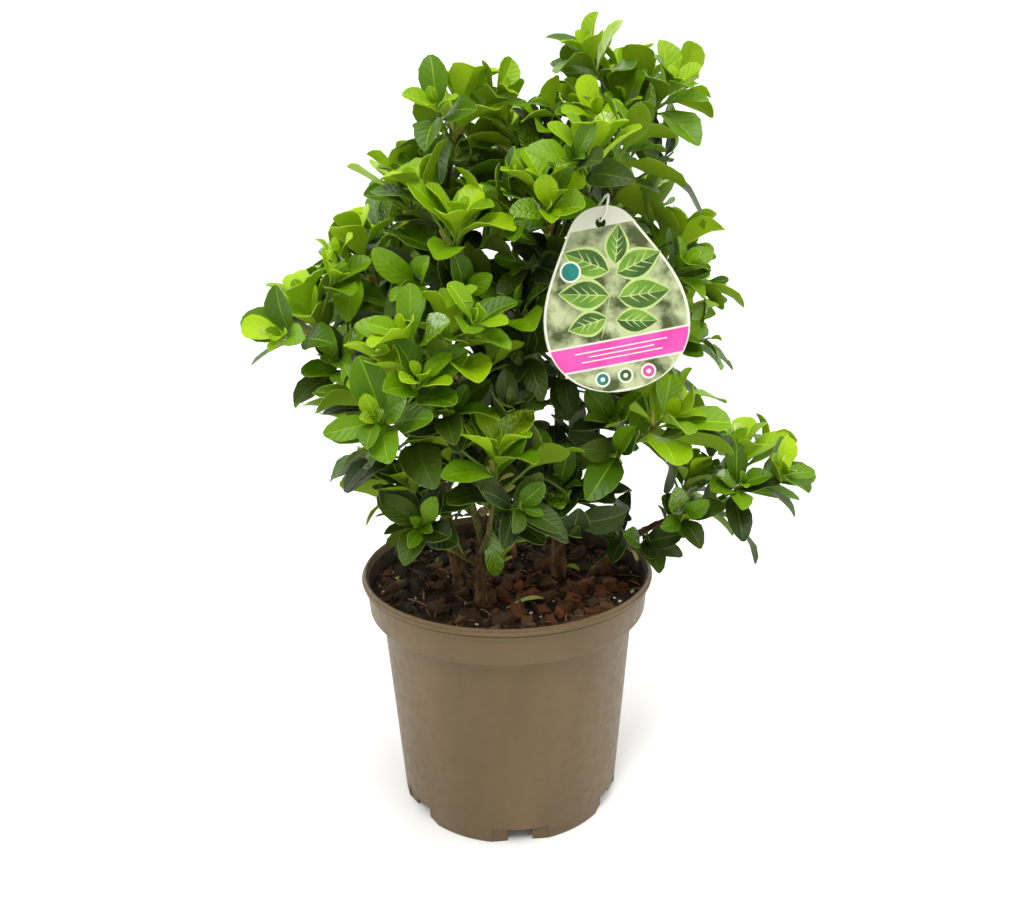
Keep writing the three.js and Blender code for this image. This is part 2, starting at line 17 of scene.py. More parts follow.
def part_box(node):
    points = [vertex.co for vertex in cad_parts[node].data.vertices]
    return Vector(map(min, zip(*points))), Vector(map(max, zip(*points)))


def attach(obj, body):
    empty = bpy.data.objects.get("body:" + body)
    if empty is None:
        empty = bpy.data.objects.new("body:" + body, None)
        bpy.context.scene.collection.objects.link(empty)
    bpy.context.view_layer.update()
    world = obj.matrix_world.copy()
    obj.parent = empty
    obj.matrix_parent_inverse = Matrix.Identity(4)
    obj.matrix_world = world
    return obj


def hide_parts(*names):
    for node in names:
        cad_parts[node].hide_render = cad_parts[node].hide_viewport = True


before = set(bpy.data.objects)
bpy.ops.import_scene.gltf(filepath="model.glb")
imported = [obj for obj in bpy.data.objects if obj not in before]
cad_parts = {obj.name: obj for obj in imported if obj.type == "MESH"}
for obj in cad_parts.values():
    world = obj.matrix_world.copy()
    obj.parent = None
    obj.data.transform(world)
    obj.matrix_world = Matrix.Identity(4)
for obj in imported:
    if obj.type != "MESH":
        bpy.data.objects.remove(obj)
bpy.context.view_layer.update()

MM = 0.001
masses = sorted(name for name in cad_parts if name.startswith("mass_"))
print(len(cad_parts), "CAD nodes,", len(masses), "of them leafy masses")

# %% [markdown]
# ## The camera
# The picture was taken from close by and slightly above, so the front of the pot looks larger than
# its back. The camera could be moved by eye until the outlines agree. Here its place and tilt were
# worked out from the pot's lip, collar and foot, which are true circles of known size.

# %% Camera
FRAME_WIDTH = 1024  # pixels
FOCAL_PIXELS = 889
SENSOR_WIDTH = 36.0
CAMERA_PLACE = Vector((0.0, -544.0, 395.0)) * MM
PITCH_DOWN, PAN_RIGHT, ROLL = (math.radians(angle) for angle in (16.12, 0.46, -0.8))

lens = bpy.data.cameras.new("camera")
lens.sensor_width = SENSOR_WIDTH
lens.lens = SENSOR_WIDTH * FOCAL_PIXELS / FRAME_WIDTH
camera = bpy.data.objects.new("camera", lens)
bpy.context.scene.collection.objects.link(camera)
aimed = Euler((math.pi / 2 - PITCH_DOWN, 0, -PAN_RIGHT)).to_matrix().to_4x4()
camera.matrix_world = Matrix.Translation(CAMERA_PLACE) @ aimed @ Matrix.Rotation(ROLL, 4, "Z")
bpy.context.scene.camera = camera
print("lens", round(lens.lens, 2), "mm")

# %% [markdown]
# ## Helpers for working by operators
# An operator acts on what is selected and active, just as a key press does in the window. So every
# step starts by saying exactly what is selected. `only` does it for objects, and `pick` does it in
# edit mode for corners, edges or faces, by where they are.

# %% Selecting and finishing
def only(*objects):
    """Leaves these objects selected and nothing else, with the first one active."""
    bpy.ops.object.select_all(action="DESELECT")
    for one in objects:
        one.select_set(True)
    bpy.context.view_layer.objects.active = objects[0]


def pick(kind, test):
    """In edit mode, selects each VERT, EDGE or FACE whose middle passes the test."""
    bpy.ops.mesh.select_mode(type=kind)
    bpy.ops.mesh.select_all(action="DESELECT")
    mesh = bmesh.from_edit_mesh(bpy.context.object.data)
    for item in {"VERT": mesh.verts, "EDGE": mesh.edges, "FACE": mesh.faces}[kind]:
        corners = [item] if kind == "VERT" else item.verts
        if test(sum((corner.co for corner in corners), Vector()) / len(corners)):
            item.select_set(True)
    mesh.select_flush_mode()
    bmesh.update_edit_mesh(bpy.context.object.data)


def modified(piece, kind, **settings):
    """Adds a modifier with these settings and applies it."""
    change = piece.modifiers.new(kind.lower(), kind)
    for name, value in settings.items():
        setattr(change, name, value)
    only(piece)
    bpy.ops.object.modifier_apply(modifier=change.name)


def settled(piece, matrix):
    """Puts a piece in its place, with the place in its mesh and the object at the origin."""
    piece.matrix_world = matrix @ piece.matrix_world
    only(piece)
    bpy.ops.object.transform_apply(location=True, rotation=True, scale=True)


def smooth(piece, degrees=35):
    """Shades a piece smoothly, with the edges that turn more than this left crisp."""
    only(piece)
    bpy.ops.object.shade_smooth_by_angle(angle=math.radians(degrees))


def dress(piece, slot, *nodes):
    """Puts a finished piece on the plant's one body, and hides the CAD nodes that it stands for. The slot is
    not used.
    """
    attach(piece, "root")
    if nodes:
        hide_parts(*nodes)
    print(piece.name, len(piece.data.polygons), "faces")


# %% [markdown]
# ## Helpers for finishes
# A finish is a small tree of nodes. `node` adds one and wires it up in the same line, so that a
# finish reads from the pattern down to the shader. Patterns are placed by Object coordinates, which
# are metres here, so a scale of 400 repeats about every 2.5 mm.

# %% Colours and nodes
def srgb(*levels):
    """A colour given as 0 to 255 picture values, as the linear values that a shader takes."""
    shares = [level / 255 for level in levels]
    return (*[s / 12.92 if s <= 0.04045 else ((s + 0.055) / 1.055) ** 2.4 for s in shares], 1.0)


def feed(finish, target, inputs):
    """Feeds a node's sockets with plain values or with other nodes' outputs."""
    for socket, value in dict(inputs).items():
        if isinstance(value, bpy.types.NodeSocket):
            finish.node_tree.links.new(value, target.inputs[socket])
        else:
            target.inputs[socket].default_value = value


def node(finish, kind, inputs=(), **settings):
    """Adds a node with its settings and inputs."""
    made = finish.node_tree.nodes.new(kind)
    for name, value in settings.items():
        setattr(made, name, value)
    feed(finish, made, inputs)
    return made


def drive(finish, **inputs):
    """Feeds the shader's sockets, whose names are written with _ for a space."""
    named = {socket.replace("_", " "): value for socket, value in inputs.items()}
    feed(finish, finish.node_tree.nodes["Principled BSDF"], named)


def new_finish(name, colour, roughness, **constants):
    """A shader with its plain values."""
    finish = bpy.data.materials.new(name)
    finish.use_nodes = True
    finish.diffuse_color = colour
    drive(finish, Base_Color=colour, Roughness=roughness, **constants)
    return finish


def noise(finish, scale, detail=3.0, stretch=(1, 1, 1)):
    """Noise on Object coordinates, drawn out along the axes whose stretch is under 1."""
    places = node(finish, "ShaderNodeTexCoord").outputs["Object"]
    scaled = node(finish, "ShaderNodeMapping", {"Vector": places, "Scale": stretch}).outputs["Vector"]
    made = node(finish, "ShaderNodeTexNoise", {"Vector": scaled, "Scale": scale, "Detail": detail})
    return made.outputs["Fac"]


def ramp(finish, pattern, *stops):
    """Turns a pattern into colours, at stops given as (place, colour)."""
    made = node(finish, "ShaderNodeValToRGB", {"Fac": pattern})
    bands = made.color_ramp.elements
    while len(bands) < len(stops):
        bands.new(0.5)
    for band, (place, colour) in zip(bands, stops):
        band.position, band.color = place, colour
    return made.outputs["Color"]


def maths(finish, operation, *values):
    """One sum on patterns or plain numbers."""
    return node(finish, "ShaderNodeMath", enumerate(values), operation=operation).outputs[0]


def spread(finish, pattern, low, high):
    """A pattern's middle part, drawn out from a low to a high value."""
    made = node(finish, "ShaderNodeMapRange", {
        "Value": pattern, "From Min": 0.3, "From Max": 0.7, "To Min": low, "To Max": high})
    return made.outputs["Result"]


def relief(finish, height, depth):
    """Feeds a pattern to the shader as a bump of this depth in mm."""
    bump = node(finish, "ShaderNodeBump", {"Height": height, "Distance": depth * MM, "Strength": 1.0})
    drive(finish, Normal=bump.outputs["Normal"])


def grained(name, tone, roughness, shine, scale, depth, detail=2, stretch=(1, 1, 1)):
    """A plain colour over a fine grain of this depth in mm."""
    finish = new_finish(name, srgb(*tone), roughness, Specular_IOR_Level=shine)
    relief(finish, noise(finish, scale, detail, stretch), depth)
    return finish


def weathered(name, tones, roughness, shine, scale, depth, detail, stretch=(1, 1, 1)):
    """Tones given as (place, tone), which follow the same pattern as the relief."""
    mean = [sum(levels) / len(tones) for levels in zip(*[tone for _, tone in tones])]
    finish = new_finish(name, srgb(*mean), roughness, Specular_IOR_Level=shine)
    pattern = noise(finish, scale, detail, stretch)
    drive(finish, Base_Color=ramp(finish, pattern, *[(place, srgb(*tone)) for place, tone in tones]))
    relief(finish, pattern, depth)
    return finish


# %% [markdown]
# ## The pot
# A pot like this is blown or pressed from one thin sheet of plastic: a tapered wall, a wider collar
# that pots stack on, a rolled lip, and a foot with a drain channel and six low slots. A lathe
# shape is drawn once as a profile and spun. The slots are cut afterwards, as they break the circle.

# %% Tracing and spinning
def arc(middle, radius, start, end, steps=4):
    """Points on part of a circle in the drawing's plane, from one angle to another in degrees."""
    angles = [math.radians(start + (end - start) * i / steps) for i in range(steps + 1)]
    return [(middle[0] + radius * math.cos(a), middle[1] + radius * math.sin(a)) for a in angles]


def traced(name, profile):
    """Extrudes a corner along a path of (x, z) in mm, in the XZ plane, and stays in edit mode."""
    points = [Vector((x, 0, z)) * MM for x, z in profile]
    bpy.ops.mesh.primitive_plane_add(size=MM, location=points[0])
    piece = bpy.context.object
    piece.name = name
    only(piece)
    bpy.ops.object.transform_apply(location=True)
    bpy.ops.object.mode_set(mode="EDIT")
    bpy.ops.mesh.select_mode(type="VERT")
    bpy.ops.mesh.select_all(action="SELECT")
    bpy.ops.mesh.merge(type="CENTER")
    for here, there in zip(points, points[1:]):
        bpy.ops.mesh.extrude_region_move(TRANSFORM_OT_translate={"value": there - here})
    bpy.ops.mesh.select_all(action="SELECT")
    return piece


def turned(name, profile, steps):
    """Spins a traced profile of (radius, height) in mm round the Z axis."""
    piece = traced(name, profile)
    bpy.ops.mesh.spin(steps=steps, angle=2 * math.pi, center=(0, 0, 0), axis=(0, 0, 1))
    bpy.ops.mesh.select_all(action="SELECT")
    bpy.ops.mesh.remove_doubles(threshold=0.01 * MM)
    bpy.ops.mesh.normals_make_consistent(inside=False)
    bpy.ops.object.mode_set(mode="OBJECT")
    return piece


# %% Pot wall, collar and lip
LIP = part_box("pot")[1].x / MM
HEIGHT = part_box("pot")[1].z / MM
FOOT, BODY_TOP, COLLAR, COLLAR_DROP, WALL, FLOOR = 73.0, 82.8, 90.7, 25.4, 1.5, 2.0
CHANNEL_IN, CHANNEL_OUT, CHANNEL_RISE = 56.0, 69.0, 5.0
POT_SIDES = 144
step_height = HEIGHT - COLLAR_DROP


def cavity(gap):
    """The pot's inner wall from the middle of its floor up to the collar, moved in by a gap."""
    return [
        (0, FLOOR + gap),
        (CHANNEL_IN - 1.5 - gap, FLOOR + gap),
        (CHANNEL_IN + 0.5 - gap, CHANNEL_RISE + FLOOR + gap),
        (CHANNEL_OUT + 0.5 - gap, CHANNEL_RISE + FLOOR + gap),
        (FOOT - WALL + 0.6 - gap, CHANNEL_RISE + 5 + gap),
        (BODY_TOP - WALL - gap, step_height + 0.4),
        (COLLAR - WALL - gap, step_height + 2.6 + gap),
    ]


outside = [
    (0, 0), (CHANNEL_IN - 1, 0), (CHANNEL_IN + 1, CHANNEL_RISE), (CHANNEL_OUT, CHANNEL_RISE),
    (CHANNEL_OUT + 1, 0), *arc((FOOT - 1.2, 1.2), 1.2, -90, -5),
    (BODY_TOP - 0.45, step_height - 6), *arc((BODY_TOP + 1.6, step_height - 1.4), 1.4, 180, 90),
    (COLLAR - 3.2, step_height), *arc((COLLAR - 2.6, step_height + 2.6), 2.6, -85, -5, 7),
    (COLLAR + 1.2, HEIGHT - 7.4), (COLLAR + 1.3, HEIGHT - 6.6),
    *arc((LIP - 1.8, HEIGHT - 5.6), 0.9, -75, 60), (LIP - 1.5, HEIGHT - 4.4),
    *arc((LIP - 1.0, HEIGHT - 3.0), 1.0, -60, 75), (LIP - 1.25, HEIGHT - 1.7),
    *arc((LIP - 2.1, HEIGHT - 0.85), 0.85, -25, 180, 6), (COLLAR + 1.5 - WALL, HEIGHT - 4.6),
]
pot = turned("pot_shell", [*outside, *reversed(cavity(0))], POT_SIDES)
print("pot", round(2 * LIP), "mm across and", round(HEIGHT), "mm high")

# %% [markdown]
# ### The drain slots
# Each slot is a low gate in the foot, with a thin flat panel set back on both sides of it. They are
# cut with two kinds of box: a shallow wide one that flattens the wall, and a narrow one that goes
# through. Both are made once and copied round the pot before the cut.

# %% Drain panels and slots
DRAINS, DRAIN_TURN = 6, math.radians(4.5)
PANEL_WIDE, PANEL_HIGH, SLOT_WIDE, SLOT_HIGH, RECESS = 36.0, 10.3, 16.0, 9.5, 0.7
PANEL_CUT, SLOT_CUT = 6, 12  # depth of each cutter


def cutters(width, depth, height, middle):
    """Boxes that stand on the floor in front of the foot, all round the pot, as one mesh."""
    bpy.ops.mesh.primitive_cube_add(size=1, location=(0, middle * MM, 0), scale=(
        width * MM, depth * MM, 2 * height * MM))
    box = bpy.context.object
    only(box)
    bpy.ops.object.transform_apply(location=True, rotation=True, scale=True)
    bpy.ops.object.mode_set(mode="EDIT")
    pick("EDGE", lambda spot: spot.z > 0.9 * height * MM)
    bpy.ops.mesh.bevel(offset=0.5 * MM, segments=2)
    bpy.ops.object.mode_set(mode="OBJECT")
    copies = [box]
    for i in range(1, DRAINS):
        copy = box.copy()
        copy.data = box.data.copy()
        copy.data.transform(Matrix.Rotation(2 * math.pi * i / DRAINS, 4, "Z"))
        bpy.context.scene.collection.objects.link(copy)
        copies.append(copy)
    only(*copies)
    bpy.ops.object.join()
    settled(bpy.context.object, Matrix.Rotation(DRAIN_TURN, 4, "Z"))
    return bpy.context.object


panel_face = -math.sqrt(FOOT**2 - (PANEL_WIDE / 2) ** 2)
for tool in (
    cutters(PANEL_WIDE, PANEL_CUT, PANEL_HIGH, panel_face - PANEL_CUT / 2 + RECESS),
    cutters(SLOT_WIDE, SLOT_CUT, SLOT_HIGH, 1 - FOOT),
):
    modified(pot, "BOOLEAN", object=tool, operation="DIFFERENCE", solver="EXACT")
    bpy.data.objects.remove(tool)
print(DRAINS, "slots,", len(pot.data.polygons), "faces in the pot")

# %% [markdown]
# ### The pot's plastic
# Recycled plastic of this kind is a dull grey-brown with a satin face. It is cloudy rather than
# plain, slightly streaked up the wall where it was drawn out of the mould, and finely pitted.

# %% Pot plastic
SHADE_STAIN_LOW, SHADE_STAIN_HIGH = 130, HEIGHT - 5
plastic = new_finish("taupe_plastic", srgb(96, 76, 43), 0.46, Specular_IOR_Level=0.45)
clouds = noise(plastic, 26, 4, stretch=(1, 1, 0.3))
drive(plastic, Base_Color=ramp(plastic, clouds, (0.3, srgb(90, 71, 39)), (0.7, srgb(102, 81, 48))))
drive(plastic, Roughness=spread(plastic, noise(plastic, 160), 0.42, 0.56))
relief(plastic, noise(plastic, 1100, 2), 0.05)
# The inner wall above the soil is darker: partly a soil stain, partly painted shade for the shade inside the
# pot.
stain_and_painted_shade = weathered("stain_and_painted_shade_plastic", [(0.35, (34, 23, 15)), (0.65, (68, 52, 34))], 0.8, 0.3, 90, 0.2, 5)
pot.data.materials.append(plastic)
pot.data.materials.append(stain_and_painted_shade)
# Inward faces near the top take the darker finish, a soil stain with painted shade.
for face in pot.data.polygons:
    inward = face.normal.dot(Vector((face.center.x, face.center.y, 0)).normalized()) < -0.5
    if inward and SHADE_STAIN_LOW < face.center.z / MM < SHADE_STAIN_HIGH:
        face.material_index = 1
smooth(pot)
dress(pot, "pot", "pot")

# %% [markdown]
# ## The soil
# The compost fills the pot to just under the lip. The filling is spun like the pot, from the same
# inner wall with a small gap. Its top gets many rings, so that two displacements can heap it: broad
# low mounds first, then crumbs.

# %% Soil body
SOIL_TOP, SOIL_EDGE_DROP, SOIL_FLAT, SOIL_SIDES, SOIL_RINGS = 148.0, 3.0, 74.0, 144, 40
HEAP_ROOM = 0.6  # left for the lumps
soil_edge = COLLAR - WALL + 0.1


def soil_height(radius):
    """The undisturbed height of the soil, which falls a little towards the wall."""
    past = max(0.0, (radius - SOIL_FLAT) / (soil_edge - SOIL_FLAT))
    return SOIL_TOP - HEAP_ROOM - SOIL_EDGE_DROP * past


top_rings = [soil_edge * (1 - i / SOIL_RINGS) for i in range(SOIL_RINGS + 1)]
soil = turned("soil_surface", [*cavity(0.3), *[(r, soil_height(r)) for r in top_rings]], SOIL_SIDES)
heap_foot, heap_reach = (SOIL_TOP - 4.2) * MM, (soil_edge - 2) * MM
heaped = soil.vertex_groups.new(name="top")
heaped.add([v.index for v in soil.data.vertices
            if v.co.z > heap_foot and math.hypot(v.co.x, v.co.y) < heap_reach], 1, "REPLACE")
for name, size, strength in (("mounds", 16, 3.4), ("crumbs", 3.2, 2.6)):
    lumps = bpy.data.textures.new(name, "CLOUDS")
    lumps.noise_scale = size * MM
    modified(soil, "DISPLACE", texture=lumps, texture_coords="LOCAL", direction="Z",
             strength=strength * MM, mid_level=0.55, vertex_group="top")

earth = new_finish("compost", srgb(50, 32, 20), 0.95, Specular_IOR_Level=0.2)
drive(earth, Base_Color=ramp(earth, noise(earth, 330, 6), (0.3, srgb(26, 16, 10)), (0.55, srgb(48, 30, 18)),
                             (0.75, srgb(84, 54, 33))))
relief(earth, noise(earth, 900, 5), 0.5)
soil.data.materials.append(earth)
smooth(soil, 60)
dress(soil, "soil", "soil")

# %% [markdown]
# ## Growing the plant
# Everything green follows one rule, the same that made the CAD masses. A shoot leaves its stem,
# curves up to its tip, and carries side twigs at fixed steps. Leaves sit in opposite pairs, each
# pair a quarter turn on from the last, close together at the tip and wider apart below. What looks
# random is a sum put through a sine, so that the plant grows the same way each time.

# %% Chance
def chance(*keys):
    """A number from 0 to 1 that depends on the whole numbers given and on nothing else."""
    mixed = sum((key + 1) * (12.9898 + 65.243 * place) for place, key in enumerate(keys))
    return math.sin(mixed) * 43758.5453 % 1


def between(low, high, *keys):
    """A chance number drawn out to lie between two values."""
    return low + (high - low) * chance(*keys)


def any_turn(*keys):
    """An angle in radians from anywhere round a circle."""
    return 6.28 * chance(*keys)


print("three draws:", [round(chance(1, key), 3) for key in range(3)])

# %% [markdown]
# ### Curves
# Stems and shoots are bent the way a twig grows: one smooth arc through three control points. The
# arc is written out with NumPy, in millimetres, because the rule asks for many points on it.

# %% Arcs in space
UP = np.array((0.0, 0.0, 1.0))
ACROSS = np.array((1.0, 0.0, 0.0))
STRAIGHT = 0.02  # an arc that bends less than this has no side of its own


def unit(vector):
    """The vector at length 1."""
    return vector / np.linalg.norm(vector)


def at(curve, t):
    """Points of an arc at shares t of the way, one row for each."""
    t = np.asarray(t, float)[..., None]
    return (1 - t) ** 2 * curve[0] + 2 * t * (1 - t) * curve[1] + t**2 * curve[2]


def ahead(curve, t):
    """The arc's direction at one share of the way."""
    return unit((1 - t) * (curve[1] - curve[0]) + t * (curve[2] - curve[1]))


def length_of(curve):
    """An arc's length, measured in 200 short steps."""
    points = at(curve, np.linspace(0, 1, 201))
    return np.linalg.norm(np.diff(points, axis=0), axis=1).sum()


def squared(vector, away):
    """The unit vector nearest to a direction that is square to another unit vector."""
    return unit(vector - vector @ away * away)


def outward(curve, t, angle):
    """Straight out of the arc at t, turned round it by an angle that never twists on the way."""
    start, here = ahead(curve, 0), ahead(curve, t)
    flat = np.cross(start, ahead(curve, 1))
    side = unit(flat) if np.linalg.norm(flat) > STRAIGHT else squared(ACROSS, start)
    out = squared(side, here)
    return out * math.cos(angle) - np.cross(here, out) * math.sin(angle)


# %% [markdown]
# ### The stems
# Five stems stand in the soil: a short pruned one in front, three that carry the crown, and one at the
# back. Each is an arc from foot to top with a bend between, given as one row of a table. They could be
# drawn by hand as curves, but the shoots below have to find their places along them.

# %% Stems
FLARE = 2.2
# Each stem's foot, its bend and its top, and its radius at foot and top, in mm
STEMS = {
    "front": ((-17, -31), (-16, -31, 178), (-15, -30, 206), (3.5, 3.0)),
    "left": ((-28, -13), (-58, 6, 270), (-34, -4, 385), (3.5, 1.8)),
    "mid": ((35, 6), (30, 12, 280), (48, -4, 405), (3.8, 1.8)),
    "right": ((60, 15), (84, 10, 182), (122, 2, 192), (3.0, 1.8)),
    "back": ((2, 42), (-8, 60, 270), (12, 68, 375), (3.5, 1.8)),
}
stem_curves = {
    name: np.array([(*foot, SOIL_TOP - 4), bend, top], float)
    for name, (foot, bend, top, _) in STEMS.items()
}


def stem_radius(name, share):
    """A stem thins from foot to top, and flares at the root."""
    foot, tip = STEMS[name][3]
    return foot + (tip - foot) * share + FLARE * (1 - share) ** 9


print("stem lengths", {name: round(length_of(curve)) for name, curve in stem_curves.items()}, "mm")

# %% [markdown]
# ### The shoots
# Each row names a shoot, the stem that it leaves and how far up, and where its tip reaches. One with
# a share has a bare bough of that share of its length. `size` is the scale of its leaves, and
# `fresh` says how much of it is this year's bright growth. Low shoots inside the crown have little.

# %% Shoots
BARE = 0.44
SHOOTS = [
    dict(name="top_left", stem="left", leaves_at=1, tip=(-22, -12, 448)),
    dict(name="upper_left_front", stem="left", leaves_at=0.78, tip=(-23, -60, 381), fresh=0.9),
    dict(name="upper_left", stem="left", leaves_at=0.85, tip=(-61, 10, 404)),
    dict(name="left_upper", stem="left", leaves_at=0.62, tip=(-83, -14, 372), share=BARE),
    dict(name="left", stem="left", leaves_at=0.45, tip=(-114, -28, 337), share=BARE),
    dict(name="left_low", stem="left", leaves_at=0.28, tip=(-93, -14, 266), share=BARE, fresh=0.8),
    dict(name="left_back", stem="left", leaves_at=0.55, tip=(-92, 48, 335), share=BARE),
    dict(name="top_inner", stem="mid", leaves_at=1, tip=(52, -12, 436)),
    dict(name="top_mid", stem="mid", leaves_at=0.85, tip=(4, 0, 440)),
    dict(name="top_centre", stem="mid", leaves_at=0.9, tip=(71, 10, 463), share=BARE),
    dict(name="top_right", stem="mid", leaves_at=0.75, tip=(82, 0, 455), share=BARE),
    dict(name="centre_upper", stem="mid", leaves_at=0.72, tip=(23, -60, 396), fresh=0.9),
    dict(name="label_front", stem="mid", leaves_at=0.6, tip=(46, -72, 415), share=0.84, fresh=0.85),
    dict(name="centre", stem="mid", leaves_at=0.55, tip=(8, -55, 335), size=1.15, fresh=0.45),
    dict(name="right_upper", stem="mid", leaves_at=0.6, tip=(108, 5, 368), share=BARE),
    dict(name="right_mid", stem="mid", leaves_at=0.42, tip=(104, 9, 322), share=BARE, fresh=0.9),
    dict(name="right_front", stem="mid", leaves_at=0.3, tip=(92, -52, 272), share=BARE, size=1.1,
         fresh=0.9),
    dict(name="low_centre", stem="mid", leaves_at=0.2, tip=(32, -45, 226), size=1.12, fresh=0.1),
    dict(name="far_right", stem="right", leaves_at=1, tip=(149, -5, 240), fresh=0.9),
    dict(name="right_low", stem="right", leaves_at=0.75, tip=(115, -12, 226), fresh=0.8),
    dict(name="right_base", stem="right", leaves_at=0.35, tip=(88, -12, 178), size=0.85, fresh=0.1),
    dict(name="front_left", stem="front", leaves_at=0.94, tip=(-58, -90, 312), share=BARE),
    dict(name="front_centre", stem="front", leaves_at=0.72, tip=(-28, -85, 334), share=BARE),
    dict(name="front_low", stem="front", leaves_at=0.56, tip=(-4, -92, 266), share=BARE, fresh=0.8),
    dict(name="low_front_left", stem="front", leaves_at=0.42, tip=(-56, -64, 238), fresh=0.7),
    dict(name="front_foot", stem="front", leaves_at=0.3, tip=(8, -44, 210), size=0.75, fresh=0.6),
    dict(name="back_top", stem="back", leaves_at=1, tip=(10, 72, 424), size=1.2),
    dict(name="back_left_upper", stem="back", leaves_at=0.8, tip=(-55, 78, 382), share=BARE, size=1.15),
    dict(name="back_right_upper", stem="back", leaves_at=0.75, tip=(78, 70, 392), share=BARE, size=1.15),
    dict(name="back_left_low", stem="back", leaves_at=0.45, tip=(-72, 82, 285), share=BARE, size=1.15,
         fresh=0.6),
    dict(name="back_right_low", stem="back", leaves_at=0.4, tip=(75, 82, 288), share=BARE, size=1.15,
         fresh=0.6),
    dict(name="back_mid", stem="back", leaves_at=0.6, tip=(5, 118, 322), size=1.15),
    dict(name="back_low", stem="back", leaves_at=0.25, tip=(-12, 98, 222), size=1.15, fresh=0.4),
]
CLEAR = 0.3
BEND_AT = (0.76, 0.76, 0.38)  # shares of a shoot's reach along X, Y and Z


def shoot_curve(stem, leaves_at, tip, **_):
    """A shoot leaves its stem sideways and then turns up, or runs straight on from the stem's tip."""
    start = at(stem_curves[stem], leaves_at)
    reach = np.array(tip, float) - start
    if leaves_at < 1:
        bend = start + reach * BEND_AT
    else:
        bend = start + ahead(stem_curves[stem], 1) * 0.5 * np.linalg.norm(reach)
    return np.array([start, bend, tip], float)


for shoot in SHOOTS:
    shoot["curve"] = shoot_curve(**shoot)
    shoot["length"] = length_of(shoot["curve"])
    gap = CLEAR / shoot["length"]
    shoot["begins"] = shoot["share"] + gap if "share" in shoot else 0 if shoot["leaves_at"] < 1 else gap
assert {"mass_" + shoot["name"] for shoot in SHOOTS} == set(masses)
print(len(SHOOTS), "shoots, the longest", round(max(shoot["length"] for shoot in SHOOTS)), "mm")

# %% [markdown]
# ### Keeping clear
# Before a twig or leaf is kept, the rule asks how far it is from every bare limb, the label, the pot
# and the other twigs. All those are rows of short straight lines, so one function that measures
# points against lines answers each question, and another asks if a line goes through a leaf.

# %% Distances and crossings
def pieces_of(curve, start, end, count):
    """An arc from share start to share end, as count straight lines."""
    points = at(curve, np.linspace(start, end, count + 1))
    return np.stack([points[:-1], points[1:]], axis=1)


def distances(points, lines):
    """How far each point is from each line, as a table with a row for each point."""
    start, way = lines[:, 0], lines[:, 1] - lines[:, 0]
    off = points[:, None] - start
    share = np.clip((off * way).sum(-1) / (way * way).sum(-1), 0, 1)
    return np.linalg.norm(off - share[..., None] * way, axis=-1)


def pierce(lines, triangles):
    """True if any line goes through any triangle."""
    start, way = lines[:, None, 0], (lines[:, 1] - lines[:, 0])[:, None]
    a, b, c = (triangles[None, :, corner] for corner in range(3))
    edge, other = b - a, c - a
    square = np.cross(way, other)
    size = (edge * square).sum(-1)
    size = np.where(np.abs(size) < 1e-9, 1e9, size)
    from_a = start - a
    u = (from_a * square).sum(-1) / size
    turn = np.cross(from_a, edge)
    v = (way * turn).sum(-1) / size
    t = (other * turn).sum(-1) / size
    return bool(((u >= 0) & (v >= 0) & (u + v <= 1) & (t >= 0) & (t < 1)).any())


# %% [markdown]
# ### Limbs, label and sky
# Leaves grow round limbs and never through them, and the picture shows sky where the crown is thin.
# Holes could be cut afterwards, but that would leave torn leaves. So the rule holds the straight gaps
# that the camera looks through, and a leaf whose points come into one is not grown.

# %% What a leaf keeps off
LABEL_WIDE, LABEL_HIGH, LABEL_THICK, HOLE_RADIUS, HOLE_DROP = 75.0, 94.0, 0.8, 2.6, 8.0
LABEL_APEX = Vector((48, -86, 388))
LABEL_ROLL, LABEL_LEAN = math.radians(10), math.radians(4)
BOUGH_FOOT, BOUGH_TIP = 2.3, 1.5
STRING_AT, STRING_KEEP, LIMB_KEEP, PART_KEEP = 0.8, 4.5, 0.9, 2
INSIDE_LIP = 9  # the ring along the lip where leaves stay above the pot
TRIM_RIGHT, TRIM_LOW, TRIM_RISE = 60, 170, 0.5  # low leaves in front are trimmed off
# The view of the front stem stays open: where it stands, half the gap, and the gap's rising top
STEM_X, STEM_Y, STEM_GAP, VIEW_TOP, VIEW_RISE = -14, -35, 7, 213, 0.37
# Straight gaps from front to back where the sky shows: two ends and a radius, in mm
GAPS = [
    ((79, -100, 256), (117, 140, 160), 11), ((76, -100, 230), (100, 60, 172), 10),
    ((-79, -100, 280), (-118, 140, 218), 9), ((-50, -100, 432), (-78, 140, 452), 12),
    ((14, -100, 444), (22, 140, 470), 6), ((-88, -100, 388), (-136, 140, 383), 10),
    ((-96, -100, 371), (-148, 140, 358), 8), ((-110, -100, 315), (-170, 140, 271), 9),
    ((-110, -100, 282), (-170, 140, 221), 10), ((113, -100, 332), (173, 140, 297), 10),
    ((120, -100, 322), (185, 140, 283), 11), ((101, -100, 446), (155, 140, 474), 8),
    ((80, -100, 196), (124, 140, 89), 8), ((104, -100, 206), (161, 140, 104), 8),
    ((-74, -100, 215), (-114, 140, 118), 10), ((-73, -100, 195), (-113, 140, 86), 9),
    ((90, -100, 413), (139, 140, 422), 7), ((101, -100, 306), (156, 140, 258), 7),
    ((110, -100, 361), (169, 140, 343), 8),
]
gap_lines = np.array([(front, back) for front, back, _ in GAPS], float)
gap_radii = np.array([radius for *_, radius in GAPS], float)
label_frame = (Matrix.Translation(LABEL_APEX) @ Matrix.Rotation(math.pi / 2 - LABEL_LEAN, 4, "X")
               @ Matrix.Rotation(LABEL_ROLL, 4, "Z"))
label_inverse = np.array(label_frame.inverted())
string_shoot = next(shoot for shoot in SHOOTS if shoot["name"] == "label_front")
string_top = at(string_shoot["curve"], STRING_AT)
hole = np.array(label_frame @ Vector((0, -HOLE_DROP, LABEL_THICK / 2)))

